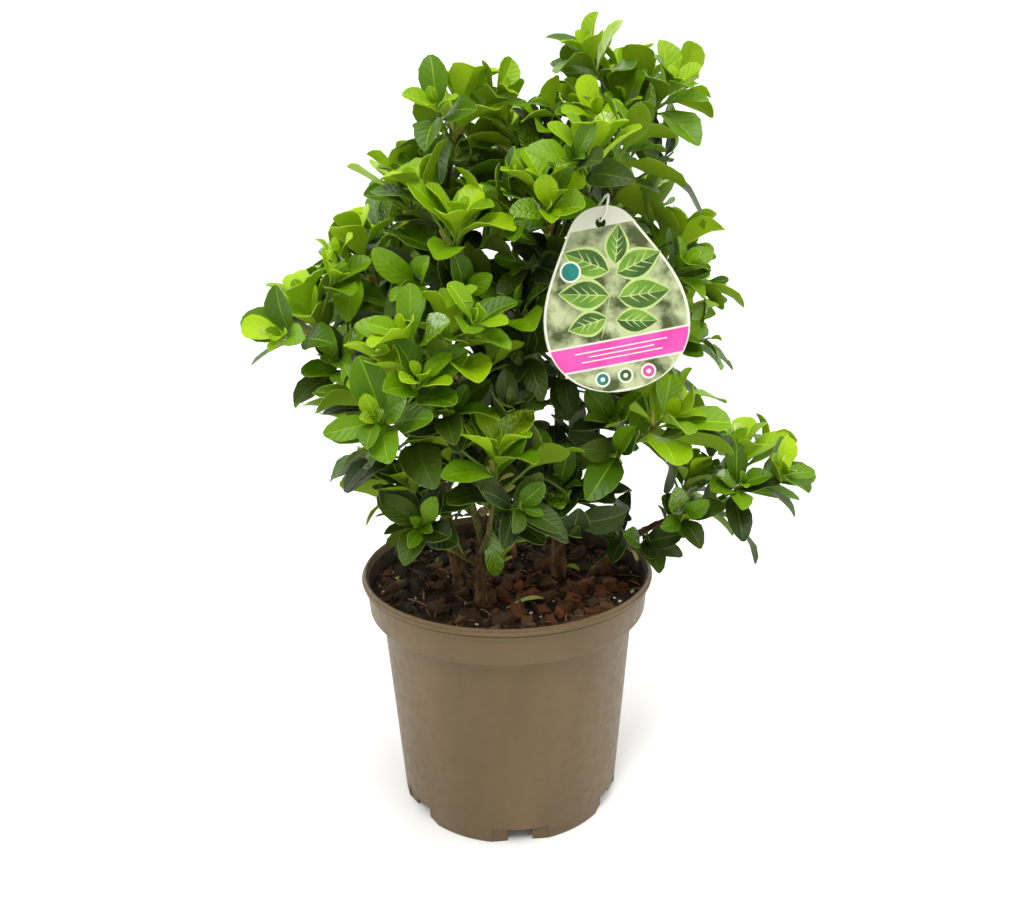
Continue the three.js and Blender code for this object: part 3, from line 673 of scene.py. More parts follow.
limbs = [(pieces_of(curve, 0, 1, 8), stem_radius(name, 0.2) + LIMB_KEEP)
         for name, curve in stem_curves.items()]
limbs += [(pieces_of(shoot["curve"], 0, shoot["share"], 4), BOUGH_FOOT + LIMB_KEEP)
          for shoot in SHOOTS if "share" in shoot]
limbs.append((np.array([[string_top, hole]]), STRING_KEEP))
limb_lines = np.concatenate([lines for lines, _ in limbs])
limb_keep = np.concatenate([[keep] * len(lines) for lines, keep in limbs])


def is_off(points):
    """True if all points are off the label, the pot, the string and every bare limb."""
    local = points @ label_inverse[:3, :3].T + label_inverse[:3, 3]
    on_label = (np.abs(local[:, 0]) < LABEL_WIDE / 2 + PART_KEEP) & (local[:, 1] < PART_KEEP)
    on_label &= (local[:, 1] > -LABEL_HIGH - PART_KEEP) & (np.abs(local[:, 2]) < PART_KEEP + 0.2)
    x, y, z = points.T
    out = np.hypot(x, y)
    floor = np.where(out > LIP - INSIDE_LIP, HEIGHT, SOIL_TOP) + PART_KEEP
    floor = np.where((y < 0) & (x < TRIM_RIGHT), np.maximum(floor, TRIM_LOW - TRIM_RISE * y), floor)
    in_pot = (out <= LIP + PART_KEEP) & (z < floor)
    before_stem = (np.abs(x - STEM_X) < STEM_GAP) & (y < STEM_Y)
    before_stem &= z < VIEW_TOP - VIEW_RISE * (y - STEM_Y)
    if (on_label | in_pot | before_stem).any() or (distances(points, gap_lines) < gap_radii).any():
        return False
    return bool((distances(points, limb_lines) > limb_keep).all())


print(len(limb_lines), "stretches of bare limb and", len(GAPS), "sky gaps")

# %% [markdown]
# ### Twigs
# The main twig of a mass carries on where its bough ends. Side twigs leave it a few millimetres
# apart, each turned on by about the angle that plants like best, near 137 degrees. The CAD masses
# have one or two side twigs. Here the same rule goes on to finer ones, which fill the crown.

# %% Twigs of every shoot
# Pairs of leaves from the tip down: mm back from the tip, the leaf's length, and its lean in degrees
PAIRS = [(0.6, 14, 8), (3, 25, 16), (7.5, 33, 29), (13.5, 37, 41), (20.5, 40, 53)]
PAIRS += [(back, 43, 67 + (back - 30) / 4) for back in range(30, 150, 10)]
SIDE_PAIRS, SIDE_SCALE, SIDE_LENGTH, SIDE_LEAN = 5, 0.86, 34, 58
# Where side twigs start, in mm back from the tip, in the order in which they look for a place
SIDE_BACKS = [26, 41, 18.5, 33.5, 48.5, 56, 64, 73, 83, 94, 106, 118]
SIDE_SPACE = 4.4
GOLDEN_TURN = 2.4  # radians, near 137.5 degrees
TWIG_RADIUS, SIDE_RADIUS = (1.35, 0.85), (0.95, 0.6)
STALE_AGE, SIDE_AGE, SIDE_AGEING = 0.8, 0.08, 110  # an age of 1 is old, and it rises with mm from the tip


def side_curve(curve, t, turn, keys):
    """A side twig's arc: it leans away from its shoot and turns up a little."""
    start, out = at(curve, t), outward(curve, t, turn)
    lean = math.radians(SIDE_LEAN + between(-8, 8, *keys, 91))
    reach = SIDE_LENGTH * between(0.85, 1.2, *keys, 92)
    way = ahead(curve, t) * math.cos(lean) + out * math.sin(lean)
    bend = start + way * reach * 0.5
    return np.array([start, bend, bend + way * reach * 0.4 + UP * reach * 0.15])


def new_twig(curve, start, size, pairs, radius, roll, age):
    """A twig with the places of its leaf pairs. One that is too short carries fewer."""
    length = length_of(curve)
    levels = {pair: 1 - back * size / length for pair, (back, _, _) in enumerate(PAIRS[:pairs])}
    levels = {pair: t for pair, t in levels.items() if t > start + 0.03}
    return dict(curve=curve, start=start, size=size, radius=radius, roll=roll, length=length,
                levels=levels, age=age)


main_lines = [pieces_of(shoot["curve"], shoot["begins"], 1, 4) for shoot in SHOOTS]


def is_clear(points, index):
    """True if points are off all limbs, and well away from the main twigs of other masses."""
    others = np.concatenate([lines for other, lines in enumerate(main_lines) if other != index])
    return is_off(points) and (distances(points, others) > SIDE_SPACE).all()


def twigs_of(index, shoot):
    """A mass's main twig, and the side twigs that find a free place round it."""
    curve, size, length, begins = shoot["curve"], shoot.get("size", 1), shoot["length"], shoot["begins"]
    stale = STALE_AGE * (1 - shoot.get("fresh", 1))
    twigs = [new_twig(curve, begins, size, len(PAIRS), TWIG_RADIUS, any_turn(index, 7), stale)]
    lowest = begins + (4 if "share" in shoot else 12) / length
    for number, back in enumerate(SIDE_BACKS):
        t = max(lowest, 1 - back / length)
        if number > 1 and 1 - back / length < lowest:
            continue
        turn = GOLDEN_TURN * number + any_turn(index, 90)
        tries = (side_curve(curve, t, turn + math.pi / 2 * quarter, (index, number)) for quarter in range(4))
        side = next((arc for arc in tries if is_clear(at(arc, [0.4, 0.7, 1]), index)), None)
        if side is not None:
            roll = any_turn(index, number, 93)
            age = stale + SIDE_AGE + back / SIDE_AGEING
            twigs.append(new_twig(side, 0, SIDE_SCALE * size, SIDE_PAIRS, SIDE_RADIUS, roll, age))
    return twigs


for index, shoot in enumerate(SHOOTS):
    shoot["twigs"] = twigs_of(index, shoot)
twig_lines = np.concatenate([
    pieces_of(twig["curve"], twig["start"], 1, 4) for shoot in SHOOTS for twig in shoot["twigs"]])
print(sum(len(shoot["twigs"]) for shoot in SHOOTS), "twigs")

# %% [markdown]
# ### Leaves
# A leaf that would touch a limb or a twig, or cut through another leaf, tries other leans and
# smaller sizes in turn. With none left it is skipped, as a shaded bud fails to grow. The youngest
# pairs of all shoots come first, so that every tip keeps its rosette and older leaves fill what
# space is left. Each kept leaf is a place, three directions, a length and an age.

# %% One leaf's place
LEAF_WIDTH, LEAF_ARCH, LEAF_FOLD, LEAF_FOOT, LIGHT_TURN = 0.58, 0.07, 0.12, 0.4, 0.45
TURN_SPREAD, LEAN_SPREAD, AGE_SPREAD, SHORTEST, LONGEST = 0.25, 9, 0.12, 0.86, 1.12
AGEING = 62  # mm from the tip to a leaf that is old
# What a leaf tries until it fits: degrees added to its lean, and its size
TRIES = [(0, 1), (14, 1), (-14, 1), (28, 1), (-24, 1), (0, 0.85), (16, 0.85), (-16, 0.85), (34, 0.85),
         (0, 0.7), (24, 0.7)]
# Places on a leaf, as (level from foot to tip, side): its outline, and the points that are tested
CORNERS = np.array([(0.02, 0), (0.25, 0.87), (0.75, 0.87), (1, 0), (0.75, -0.87), (0.25, -0.87)])
SAMPLES = np.array([(0.25, 0.87), (0.25, -0.87), (0.75, 0.87), (0.75, -0.87), (0.5, 0), (1, 0),
                    (0.5, 0.87), (0.5, -0.87)])


def leaf_at(twig, t, pair, side, lean, scale, keys):
    """A leaf's foot, directions and length, before it is tested."""
    curve, here = twig["curve"], ahead(twig["curve"], t)
    turn = twig["roll"] + math.pi * side + math.pi / 2 * pair
    turn += between(-TURN_SPREAD, TURN_SPREAD, *keys, 1)
    out = outward(curve, t, turn)
    tilt = math.radians(PAIRS[pair][2] + lean + between(-LEAN_SPREAD, LEAN_SPREAD, *keys, 2))
    along = here * math.cos(tilt) + out * math.sin(tilt)
    normal = squared(here * math.sin(tilt) - out * math.cos(tilt) + UP * LIGHT_TURN, along)
    length = PAIRS[pair][1] * twig["size"] * scale * between(SHORTEST, LONGEST, *keys, 3)
    age = PAIRS[pair][0] / AGEING + twig["age"] + between(-AGE_SPREAD, AGE_SPREAD, *keys, 5)
    return dict(foot=at(curve, t) + out * LEAF_FOOT, along=along, normal=normal,
                across=np.cross(along, normal), length=length, age=age, keys=keys)


def sheet(leaf, places):
    """Points of a leaf's middle sheet, at (level from foot to tip, side from -1 to 1)."""
    level, side = places.T[..., None]
    share = level**0.65
    wide = 0.5 * LEAF_WIDTH * leaf["length"] * (1.08 - 0.3 * level)
    lift = leaf["length"] * (4 * share * (1 - share) * LEAF_ARCH + LEAF_FOLD * np.abs(side) * LEAF_WIDTH)
    return (leaf["foot"] + share * leaf["length"] * leaf["along"] + side * wide * leaf["across"]
            + lift * leaf["normal"])


def outline_of(leaf):
    """A leaf's sheet as lines round it and along it, and as triangles."""
    rim = sheet(leaf, CORNERS)
    middle = sheet(leaf, np.array([(0.2, 0)]))[0]
    after = np.roll(rim, -1, axis=0)
    lines = np.concatenate([np.stack([rim, after], 1), [[rim[0], middle], [middle, rim[3]]]])
    return lines, np.stack([np.broadcast_to(middle, rim.shape), rim, after], 1)


# %% Leaves of every shoot
MOST_LEAVES = 4000
LEAF_OFF_TWIG = 1.0
leaves = []
feet, reaches = np.zeros((MOST_LEAVES, 3)), np.zeros(MOST_LEAVES)
kept_lines, kept_sheets = np.zeros((MOST_LEAVES, 8, 2, 3)), np.zeros((MOST_LEAVES, 6, 3, 3))


def fits(leaf):
    """True if a leaf crosses no limb, no twig and no leaf that is already there."""
    points = sheet(leaf, SAMPLES)
    if not is_off(points):
        return False
    near_twigs = twig_lines[distances(leaf["foot"][None], twig_lines)[0] < leaf["length"] + 2]
    if distances(points, near_twigs).min() < LEAF_OFF_TWIG:
        return False
    lines, triangles = outline_of(leaf)
    if pierce(limb_lines, triangles) or pierce(near_twigs, triangles):
        return False
    count = len(leaves)
    apart = np.linalg.norm(feet[:count] - leaf["foot"], axis=1)
    near = np.nonzero(apart < reaches[:count] + leaf["length"])[0]
    if len(near) and (pierce(lines, kept_sheets[near].reshape(-1, 3, 3))
                      or pierce(kept_lines[near].reshape(-1, 2, 3), triangles)):
        return False
    return True


def keep(leaf):
    """Adds a leaf, and notes its sheet for the leaves that come after it."""
    count = len(leaves)
    feet[count], reaches[count] = leaf["foot"], leaf["length"]
    kept_lines[count], kept_sheets[count] = outline_of(leaf)
    leaves.append(leaf)


# The glossy leaf that hangs beside the front stem comes before all others
along = np.array(Vector((0.2, -0.15, -1)).normalized())
normal = squared(np.array((0.3, -1, 0.35)), along)
keep(dict(foot=np.array((-11.5, -36.0, 202.0)), along=along, normal=normal, length=35,
          across=np.cross(along, normal), age=0.5, keys=(77, 0, 0, 0), glossy=True, slim=0.72))
places = [(pair, index, number, side)
          for pair in range(len(PAIRS)) for index, shoot in enumerate(SHOOTS)
          for number, twig in enumerate(shoot["twigs"]) if pair in twig["levels"] for side in range(2)]
for pair, index, number, side in places:
    twig = SHOOTS[index]["twigs"][number]
    keys = (index, number, pair, side)
    tries = (leaf_at(twig, twig["levels"][pair], pair, side, lean, scale, keys) for lean, scale in TRIES)
    leaf = next((leaf for leaf in tries if fits(leaf)), None)
    if leaf:
        keep(leaf)
print(len(leaves), "leaves of", len(places), "places, mean length",
      round(float(np.mean([leaf["length"] for leaf in leaves])), 1))

# %% [markdown]
# ## Stems and boughs
# The older wood is brown, with fine ridges along it and a slight swelling at each old leaf node. It
# could be sculpted, but at this size a bevelled curve with its own radius at each point does the
# form, and a displacement adds the ridges as real relief.

# %% Woody limbs
NODE_STEP, NODE_SWELL, NODE_WIDE, LIMB_STEP = 17.0, 0.16, 1.3, 1.6


def wood_curve(name, rows):
    """Rows of (points, radii) in mm as one curve object, converted to a mesh."""
    line = bpy.data.curves.new(name, "CURVE")
    line.dimensions = "3D"
    line.bevel_depth = MM
    line.bevel_resolution = 5
    line.use_fill_caps = True
    for points, radii in rows:
        spline = line.splines.new("POLY")
        spline.points.add(len(points) - 1)
        spline.points.foreach_set("co", np.column_stack([points * MM, np.ones(len(points))]).ravel())
        spline.points.foreach_set("radius", radii)
    piece = bpy.data.objects.new(name, line)
    bpy.context.scene.collection.objects.link(piece)
    only(piece)
    bpy.ops.object.convert(target="MESH")
    return bpy.context.object


def wood_row(curve, end, radius_at, seed):
    """Points and radii along an arc up to a share of it, with a swelling at each node."""
    length = length_of(curve)
    t = np.linspace(0, end, max(6, round(end * length / LIMB_STEP)) + 1)
    off = (t * length + NODE_STEP * chance(seed, 60)) % NODE_STEP
    near = np.minimum(off, NODE_STEP - off)
    radii = np.array([radius_at(share) for share in t / end])
    return at(curve, t), radii * (1 + NODE_SWELL * np.exp(-((near / NODE_WIDE) ** 2)))


def bough_radius(shoot):
    """A bough's radius as a function of the way along it. It is thinner than its stem."""
    foot = min(BOUGH_FOOT, 0.82 * stem_radius(shoot["stem"], shoot["leaves_at"]))
    return lambda share: foot + (BOUGH_TIP - foot) * share


def barked(piece, ridge, depth):
    """Works fine ridges into a limb's mesh."""
    for name, size, share in (("ridges", ridge, 1.0), ("pores", ridge * 0.35, 0.5)):
        pattern = bpy.data.textures.new(name, "CLOUDS")
        pattern.noise_scale = size * MM
        modified(piece, "DISPLACE", texture=pattern, texture_coords="LOCAL", direction="NORMAL",
                 strength=depth * share * MM, mid_level=0.5)
    smooth(piece, 70)


stems = wood_curve("stems", [
    wood_row(curve, 1, lambda share, name=name: stem_radius(name, share), number)
    for number, (name, curve) in enumerate(stem_curves.items())])
barked(stems, 2.2, 1.3)
boughs = wood_curve("boughs", [
    wood_row(shoot["curve"], shoot["share"] + 0.01, bough_radius(shoot), 20 + index)
    for index, shoot in enumerate(SHOOTS) if "share" in shoot])
barked(boughs, 1.6, 0.6)

# %% [markdown]
# ### Bark
# The stems have grey-brown bark with fine fissures, and the younger boughs are still partly green. A
# photograph of bark would need unwrapping. Noise that is drawn out upwards gives the fissures here,
# and the same noise presses the surface in, so that dark lines are also deep.

# %% Bark of the stems and of the boughs
bark = weathered("bark", [(0.32, (42, 28, 14)), (0.5, (88, 62, 34)), (0.68, (124, 94, 56))],
                 0.82, 0.3, 420, 0.5, 6, stretch=(1, 1, 0.22))
green_bark = weathered("green_bark", [(0.34, (56, 46, 20)), (0.6, (92, 92, 36))],
                       0.7, 0.35, 380, 0.3, 5, stretch=(1, 1, 0.3))
stems.data.materials.append(bark)
boughs.data.materials.append(green_bark)
dress(stems, "bark", *[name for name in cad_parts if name.startswith("stem_")])
dress(boughs, "bark", *[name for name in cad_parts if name.startswith("bough_")])

# %% [markdown]
# ### The pruned stubs
# The shoot in front was cut back last year, and its stump shows a pale slanted cut with a ring of
# bark. A cylinder is cut off at a slant by bisect. The new end face is then inset twice, for the
# bark and the pith.

# %% Pruned stubs
end_grain = weathered("end_grain", [(0.35, (160, 132, 84)), (0.65, (210, 186, 138))], 0.8, 0.2, 900, 0.2, 3)


def stub(name, place, way, radius, length, slant):
    """A short stump that starts inside its limb, with its cut end in paler wood."""
    bpy.ops.mesh.primitive_cylinder_add(vertices=24, radius=radius * MM, depth=2 * length * MM)
    piece = bpy.context.object
    piece.name = name
    only(piece)
    for finish in (bark, end_grain):
        piece.data.materials.append(finish)
    bpy.ops.object.mode_set(mode="EDIT")
    bpy.ops.mesh.select_all(action="SELECT")
    bpy.ops.mesh.subdivide(number_cuts=2)
    bpy.ops.mesh.select_all(action="SELECT")
    bpy.ops.mesh.bisect(plane_co=(0, 0, 0.6 * length * MM), plane_no=slant, use_fill=True, clear_outer=True)
    bpy.ops.mesh.inset(thickness=0.16 * radius * MM)
    piece.active_material_index = 1
    bpy.ops.object.material_slot_assign()
    bpy.ops.mesh.inset(thickness=0.55 * radius * MM)
    bpy.ops.transform.translate(value=(0, 0, -0.12 * radius * MM))
    bpy.ops.mesh.select_all(action="SELECT")
    bpy.ops.transform.vertex_random(offset=0.05 * radius * MM, uniform=1.0, seed=5)
    bpy.ops.object.mode_set(mode="OBJECT")
    turn = Vector(way).to_track_quat("Z", "Y").to_matrix().to_4x4()
    settled(piece, Matrix.Translation(Vector(place) * MM) @ turn)
    smooth(piece, 40)
    dress(piece, "bark")


stub("pruned_stem", (-14.8, -32, 206.5), (0.12, -0.8, 0.6), 3.2, 7.0, (0.1, -0.15, 1))
front_centre = next(shoot["curve"] for shoot in SHOOTS if shoot["name"] == "front_centre")
stub("pruned_side", at(front_centre, 0.8), (0.5, -0.7, 0.7), 1.5, 5.0, (0.2, -0.3, 1))

# %% [markdown]
# ## Twigs as one mesh
# There are about two hundred twigs, too many to model one by one. Each is the same small tapered tube
# with six sides, so its corners are worked out with arrays and all of them go into one mesh for each
# kind. This year's twigs are green, and the ones that carry them have started to turn brown.

# %% Tubes from arrays
def joined(name, parts, finishes, crisp=50):
    """One mesh from parts of (corners in mm, faces, finish numbers, corner UVs or None)."""
    corners, faces, slots, patterns, start = [], [], [], [], 0
    for points, part_faces, part_slots, *uvs in parts:
        corners.append(points)
        faces += [[corner + start for corner in face] for face in part_faces]
        slots += part_slots
        patterns += uvs
        start += len(points)
    mesh = bpy.data.meshes.new(name)
    mesh.from_pydata(np.concatenate(corners) * MM, [], faces)
    mesh.polygons.foreach_set("material_index", slots)
    if patterns:
        uv_map = mesh.uv_layers.new(name="blade")
        which = np.zeros(len(mesh.loops), int)
        mesh.loops.foreach_get("vertex_index", which)
        uv_map.data.foreach_set("uv", np.concatenate(patterns)[which].ravel())
    for finish in finishes:
        mesh.materials.append(finish)
    piece = bpy.data.objects.new(name, mesh)
    bpy.context.scene.collection.objects.link(piece)
    smooth(piece, crisp)
    return piece


def tube(curve, start, end, radius, rings, sides=6, slot=0):
    """A closed tapered tube along an arc, with a little rounding at its tip."""
    corners = []
    for share in np.linspace(0, 1, rings + 1):
        t = start + (end - start) * share
        wide = radius[0] + (radius[1] - radius[0]) * share
        for side in range(sides):
            corners.append(at(curve, t) + outward(curve, t, 2 * math.pi * side / sides) * wide)
    corners.append(at(curve, end) + ahead(curve, end) * radius[1])
    faces = [[ring * sides + side, (ring + 1) * sides + side,
              (ring + 1) * sides + (side + 1) % sides, ring * sides + (side + 1) % sides]
             for ring in range(rings) for side in range(sides)]
    last = rings * sides
    faces += [[last + side, last + sides, last + (side + 1) % sides] for side in range(sides)]
    faces.append(list(range(sides)))
    return np.array(corners), faces, [slot] * len(faces)


# %% Green and brown twigs
ALONG = (1, 1, 0.3)  # stretch of a grain that runs up a twig
young_wood = grained("young_wood", (108, 138, 30), 0.45, 0.4, 700, 0.15, stretch=ALONG)
old_wood = grained("old_wood", (88, 80, 34), 0.7, 0.35, 600, 0.25, 3, ALONG)

GREEN_LENGTH = 36  # mm of a shoot's tip that is this year's
green, brown = [], []
for twig in (twig for shoot in SHOOTS for twig in shoot["twigs"]):
    thick, thin = twig["radius"]
    turns = max(twig["start"], 1 - GREEN_LENGTH / twig["length"])
    middle = thick + (thin - thick) * turns
    green.append(tube(twig["curve"], turns, 1, (middle, thin), 6))
    if turns > twig["start"] + 0.05:
        brown.append(tube(twig["curve"], twig["start"], turns, (thick, middle), 8))
dress(joined("twigs_green", green, [young_wood]), "leaf", *masses)
dress(joined("twigs_brown", brown, [old_wood]), "bark", *masses)

# %% [markdown]
# ## One leaf
# A spindle leaf is thick and smooth, widest past its middle, with a pale midrib sunk into the upper
# face, a thin pale rim and a duller underside. It is modelled once, flat and one unit long: a grid
# whose sides are extruded down as the rim, whose rows are widened to the outline, and which is
# joined to a second, coarser grid below. It has few faces, as there are nearly two thousand leaves.

# %% Leaf blank
BLADE, VEIN, UNDER, RIM = range(4)
RIM_SPREAD = 1.022
VEIN_NARROWED, VEIN_DEEP, VEIN_HALF, STALK_END = 0.2, 0.4, 0.012, 0.07
ASIDE = 10  # finished rows wait this far off, out of reach of the next pick


def leaf_part(face):
    """Whether a face of the blank is blade, midrib, underside or rim."""
    if face.center.z < -0.75:
        return UNDER
    if face.center.z < -0.45:
        return RIM
    return VEIN if abs(face.center.x) < VEIN_HALF or face.center.y < STALK_END else BLADE


def leaf_side(columns, rows, depth):
    """One side of the blank, as a grid whose rows follow the outline."""
    count = len(rows) - 1
    bpy.ops.mesh.primitive_grid_add(x_subdivisions=columns, y_subdivisions=count, size=1,
                                    location=(0, 0.5, depth))
    side = bpy.context.object
    only(side)
    bpy.ops.object.transform_apply(location=True)
    bpy.ops.object.mode_set(mode="EDIT")
    if depth:
        bpy.ops.mesh.select_all(action="SELECT")
        bpy.ops.transform.resize(value=(RIM_SPREAD, 1, 1), center_override=(0, 0, 0))
    else:
        pick("VERT", lambda spot: abs(spot.x) < 0.15)
        bpy.ops.transform.resize(value=(VEIN_NARROWED, 1, 1), center_override=(0, 0.5, 0))
        bpy.ops.transform.translate(value=(0, 0, -VEIN_DEEP))
        pick("EDGE", lambda spot: abs(spot.x) > 0.49)
        bpy.ops.mesh.extrude_region_move(TRANSFORM_OT_translate={"value": (0, 0, -1)})
        bpy.ops.transform.resize(value=(RIM_SPREAD, 1, 1), center_override=(0, 0, 0))
    for number, (level, width) in enumerate(rows):
        pick("VERT", lambda spot: abs(spot.y - number / count) < 0.01)
        bpy.ops.transform.resize(value=(width, 1, 1), center_override=(0, 0, 0))
        bpy.ops.transform.translate(value=(0, ASIDE + level - number / count, 0))
    bpy.ops.mesh.select_all(action="SELECT")
    bpy.ops.transform.translate(value=(0, -ASIDE, 0))
    bpy.ops.object.mode_set(mode="OBJECT")
    return side


def arrays_of(piece):
    """The corners and faces of a finished blank, which is then removed."""
    corners = np.array([vertex.co for vertex in piece.data.vertices])
    faces = [list(face.vertices) for face in piece.data.polygons]
    bpy.data.objects.remove(piece)
    return corners, faces


def blank(name, rows):
    """A closed flat leaf of length 1 along Y, from rows of (level, width as a share of the widest)."""
    only(leaf_side(5, rows, 0), leaf_side(2, rows, -1))
    bpy.ops.object.join()
    piece = bpy.context.object
    bpy.ops.object.mode_set(mode="EDIT")
    bpy.ops.mesh.select_all(action="SELECT")
    bpy.ops.mesh.remove_doubles(threshold=1e-4)
    bpy.ops.mesh.select_all(action="SELECT")
    bpy.ops.mesh.fill_holes(sides=0)
    bpy.ops.mesh.select_all(action="SELECT")
    bpy.ops.mesh.normals_make_consistent(inside=False)
    bpy.ops.object.mode_set(mode="OBJECT")
    kinds = [leaf_part(face) for face in piece.data.polygons]
    print(name, "leaf:", len(kinds), "faces,", [kinds.count(kind) for kind in range(4)])
    return *arrays_of(piece), kinds


# Outlines from foot to tip: level, and width as a share of the widest
YOUNG_ROWS = [(0, 0.06), (0.13, 0.13), (0.31, 0.5), (0.5, 0.84), (0.68, 1),
              (0.84, 0.92), (0.955, 0.58), (1, 0.2)]
OLD_ROWS = [(0, 0.06), (0.12, 0.12), (0.28, 0.56), (0.45, 0.9), (0.61, 1),
            (0.78, 0.88), (0.93, 0.54), (1, 0.16)]
blanks = {"young": blank("young", YOUNG_ROWS), "old": blank("old", OLD_ROWS)}

# %% [markdown]
# ### Bending the blank
# No two leaves bend alike. Each copy gets its own width, an arch along its length, a cup or fold
# across it, a ripple along its edge, a twist and a sideways sweep. Young leaves are cupped and held
# up. Old ones are longer, flatter, and let their tips hang.

# %% Bent leaves
BLADE_THICK = 0.42
MANNERS = {
    "young": dict(width=0.55, arch=0.05, droop=0.1, cup=0.22, bulge=1.2, ripple=0.04, twist=0.3),
    "mid": dict(width=0.52, arch=0.07, droop=0.13, cup=0.16, bulge=0.95, ripple=0.06, twist=0.4),
    "old": dict(width=0.5, arch=0.08, droop=0.18, cup=0.12, bulge=0.85, ripple=0.05, twist=0.45),
}


def bent(leaf, blank_corners, manner):
    """The corners of a leaf in mm, in place on its twig."""
    x, y, z = blank_corners.T
    keys, length = leaf["keys"], leaf["length"]
    width = length * manner["width"] * leaf.get("slim", 1) * between(0.86, 1.12, *keys, 10)
    arch = manner["arch"] * between(0.4, 1.5, *keys, 12) * 4 * y * (1 - y)
    droop = manner["droop"] * between(0.1, 1.7, *keys, 13) * y**2.4
    cup = manner["cup"] * between(0.4, 1.4, *keys, 14) * np.abs(2 * x) ** manner["bulge"]
    ripple = manner["ripple"] * np.sin(2 * math.pi * (1.6 * y + chance(*keys, 15))) * 2 * x
    height = length * (arch - droop) + width * (cup + ripple) + z * BLADE_THICK
    twist = manner["twist"] * between(-1, 1, *keys, 16) * y
    out = x * width * np.cos(twist) - height * np.sin(twist)
    up = x * width * np.sin(twist) + height * np.cos(twist)
    out = out + 0.08 * length * between(-1, 1, *keys, 11) * y**2
    return (leaf["foot"] + np.outer(out, leaf["across"]) + np.outer(y * length, leaf["along"])
            + np.outer(up, leaf["normal"]))


# %% [markdown]
# ### Leaf finishes
# The tints have a place on the plant: yellow-green at the tips, dark inside. They are plain colours,
# four to each age, dealt out leaf by leaf. The relief reads the leaf's own UV map, where V runs from
# foot to tip: slanted side veins press into the blade, and quilting between them breaks up the
# shine. A few young leaves are blistered, and catch the light in small white glints.

# %% Blade, vein, underside and rim
SIDE_VEINS, VEIN_SLANT = 7, 0.32
# Each underside tone is paler than its blade: partly the leaf's own paler back, partly painted light that
# stands in for light shining through the leaf.
AGES = {
    "young": dict(shades=[(146, 182, 6), (130, 168, 4), (158, 194, 12), (116, 156, 4)],
                  vein=(158, 192, 40), under=(160, 196, 30), rim=(154, 186, 34), roughness=0.4),
    "mid": dict(shades=[(94, 134, 6), (80, 118, 5), (108, 148, 8), (68, 102, 5)],
                vein=(124, 156, 36), under=(112, 142, 20), rim=(110, 140, 34), roughness=0.36),
    "old": dict(shades=[(40, 58, 5), (50, 70, 6), (33, 48, 5), (60, 82, 8)],
                vein=(80, 104, 30), under=(74, 92, 20), rim=(86, 108, 40), roughness=0.44),
}


def leafy(name, colour, roughness, depth, blister=0.0):
    """A waxy leaf skin with side veins and quilting of this depth in mm."""
    finish = new_finish(name, srgb(*colour), roughness, Specular_IOR_Level=0.2 + 0.4 * blister,
                        Coat_Weight=0.5 * blister, Coat_Roughness=0.12)
    placed = node(finish, "ShaderNodeTexCoord").outputs["UV"]
    parts = node(finish, "ShaderNodeSeparateXYZ", {"Vector": placed}).outputs
    aside = maths(finish, "MULTIPLY", maths(finish, "ABSOLUTE", parts["X"]), -VEIN_SLANT)
    wave = maths(finish, "SINE", maths(finish, "MULTIPLY", maths(finish, "ADD", parts["Y"], aside),
                                       math.pi * SIDE_VEINS))
    pads = maths(finish, "POWER", maths(finish, "ABSOLUTE", wave), 0.4)
    quilting = maths(finish, "MULTIPLY", noise(finish, 330, 2), 0.6 + blister)
    relief(finish, maths(finish, "ADD", maths(finish, "MULTIPLY", pads, 0.5), quilting), depth)
    return finish


def leaf_skins(age, look):
    """The finishes of one age, in the order of their slots: shades, vein, underside, rim, blistered."""
    skins = [leafy(f"{age}_blade_{number}", shade, look["roughness"], 0.42)
             for number, shade in enumerate(look["shades"])]
    # The underside finish takes that tone, with its painted light from behind.
    skins += [grained(f"{age}_{part}", look[part], roughness, 0.2, 500, 0.1)
              for part, roughness in (("vein", 0.42), ("under", 0.55), ("rim", 0.45))]
    return skins + [leafy(f"{age}_blistered", look["shades"][2], 0.16, 1.3, 1.2)]


# %% [markdown]
# ### All leaves in three meshes
# Young, middle and old leaves have their own finishes, so each age becomes one mesh. Instances of one
# leaf would be lighter, but they are lost when a model is passed on, and all would bend alike. So the
# corners of every leaf are worked out from its blank, and joined.

# %% All leaves
BLISTERED_SHARE = 0.09
SHADES = 4
BLISTERED = SHADES + 3  # its place among the finishes of one age


def blade_uv(corners):
    """A blank's UV map: from -1 to 1 across the blade, and from foot to tip along it."""
    return np.column_stack([2 * corners[:, 0], corners[:, 1]])


def leaf_parts(group, age):
    """Parts of one age's mesh, with each leaf's own shade."""
    corners, faces, kinds = blanks["young" if age == "young" else "old"]
    parts = []
    for leaf in group:
        shade = int(SHADES * chance(*leaf["keys"], 20))
        if leaf.get("glossy") or age != "old" and chance(*leaf["keys"], 21) < BLISTERED_SHARE:
            shade = BLISTERED
        slots = [shade if kind == BLADE else SHADES - 1 + kind for kind in kinds]
        parts.append((bent(leaf, corners, MANNERS[age]), faces, slots, blade_uv(corners)))
    return parts


YOUNG_UNTIL, MID_UNTIL = 0.42, 0.76
groups = {
    "young": [leaf for leaf in leaves if leaf["age"] < YOUNG_UNTIL],
    "mid": [leaf for leaf in leaves if YOUNG_UNTIL <= leaf["age"] < MID_UNTIL],
    "old": [leaf for leaf in leaves if leaf["age"] >= MID_UNTIL],
}
for age, group in groups.items():
    piece = joined("leaves_" + age, leaf_parts(group, age), leaf_skins(age, AGES[age]))
    dress(piece, "leaf", *masses)
    print(len(group), age, "leaves")

# %% [markdown]
# ### Bud scales
# Where this year's growth starts, narrow pale scales from the opened buds still cling to the shoot.
# They are the leaf blank again, much slimmer and shorter, set close to the twig.

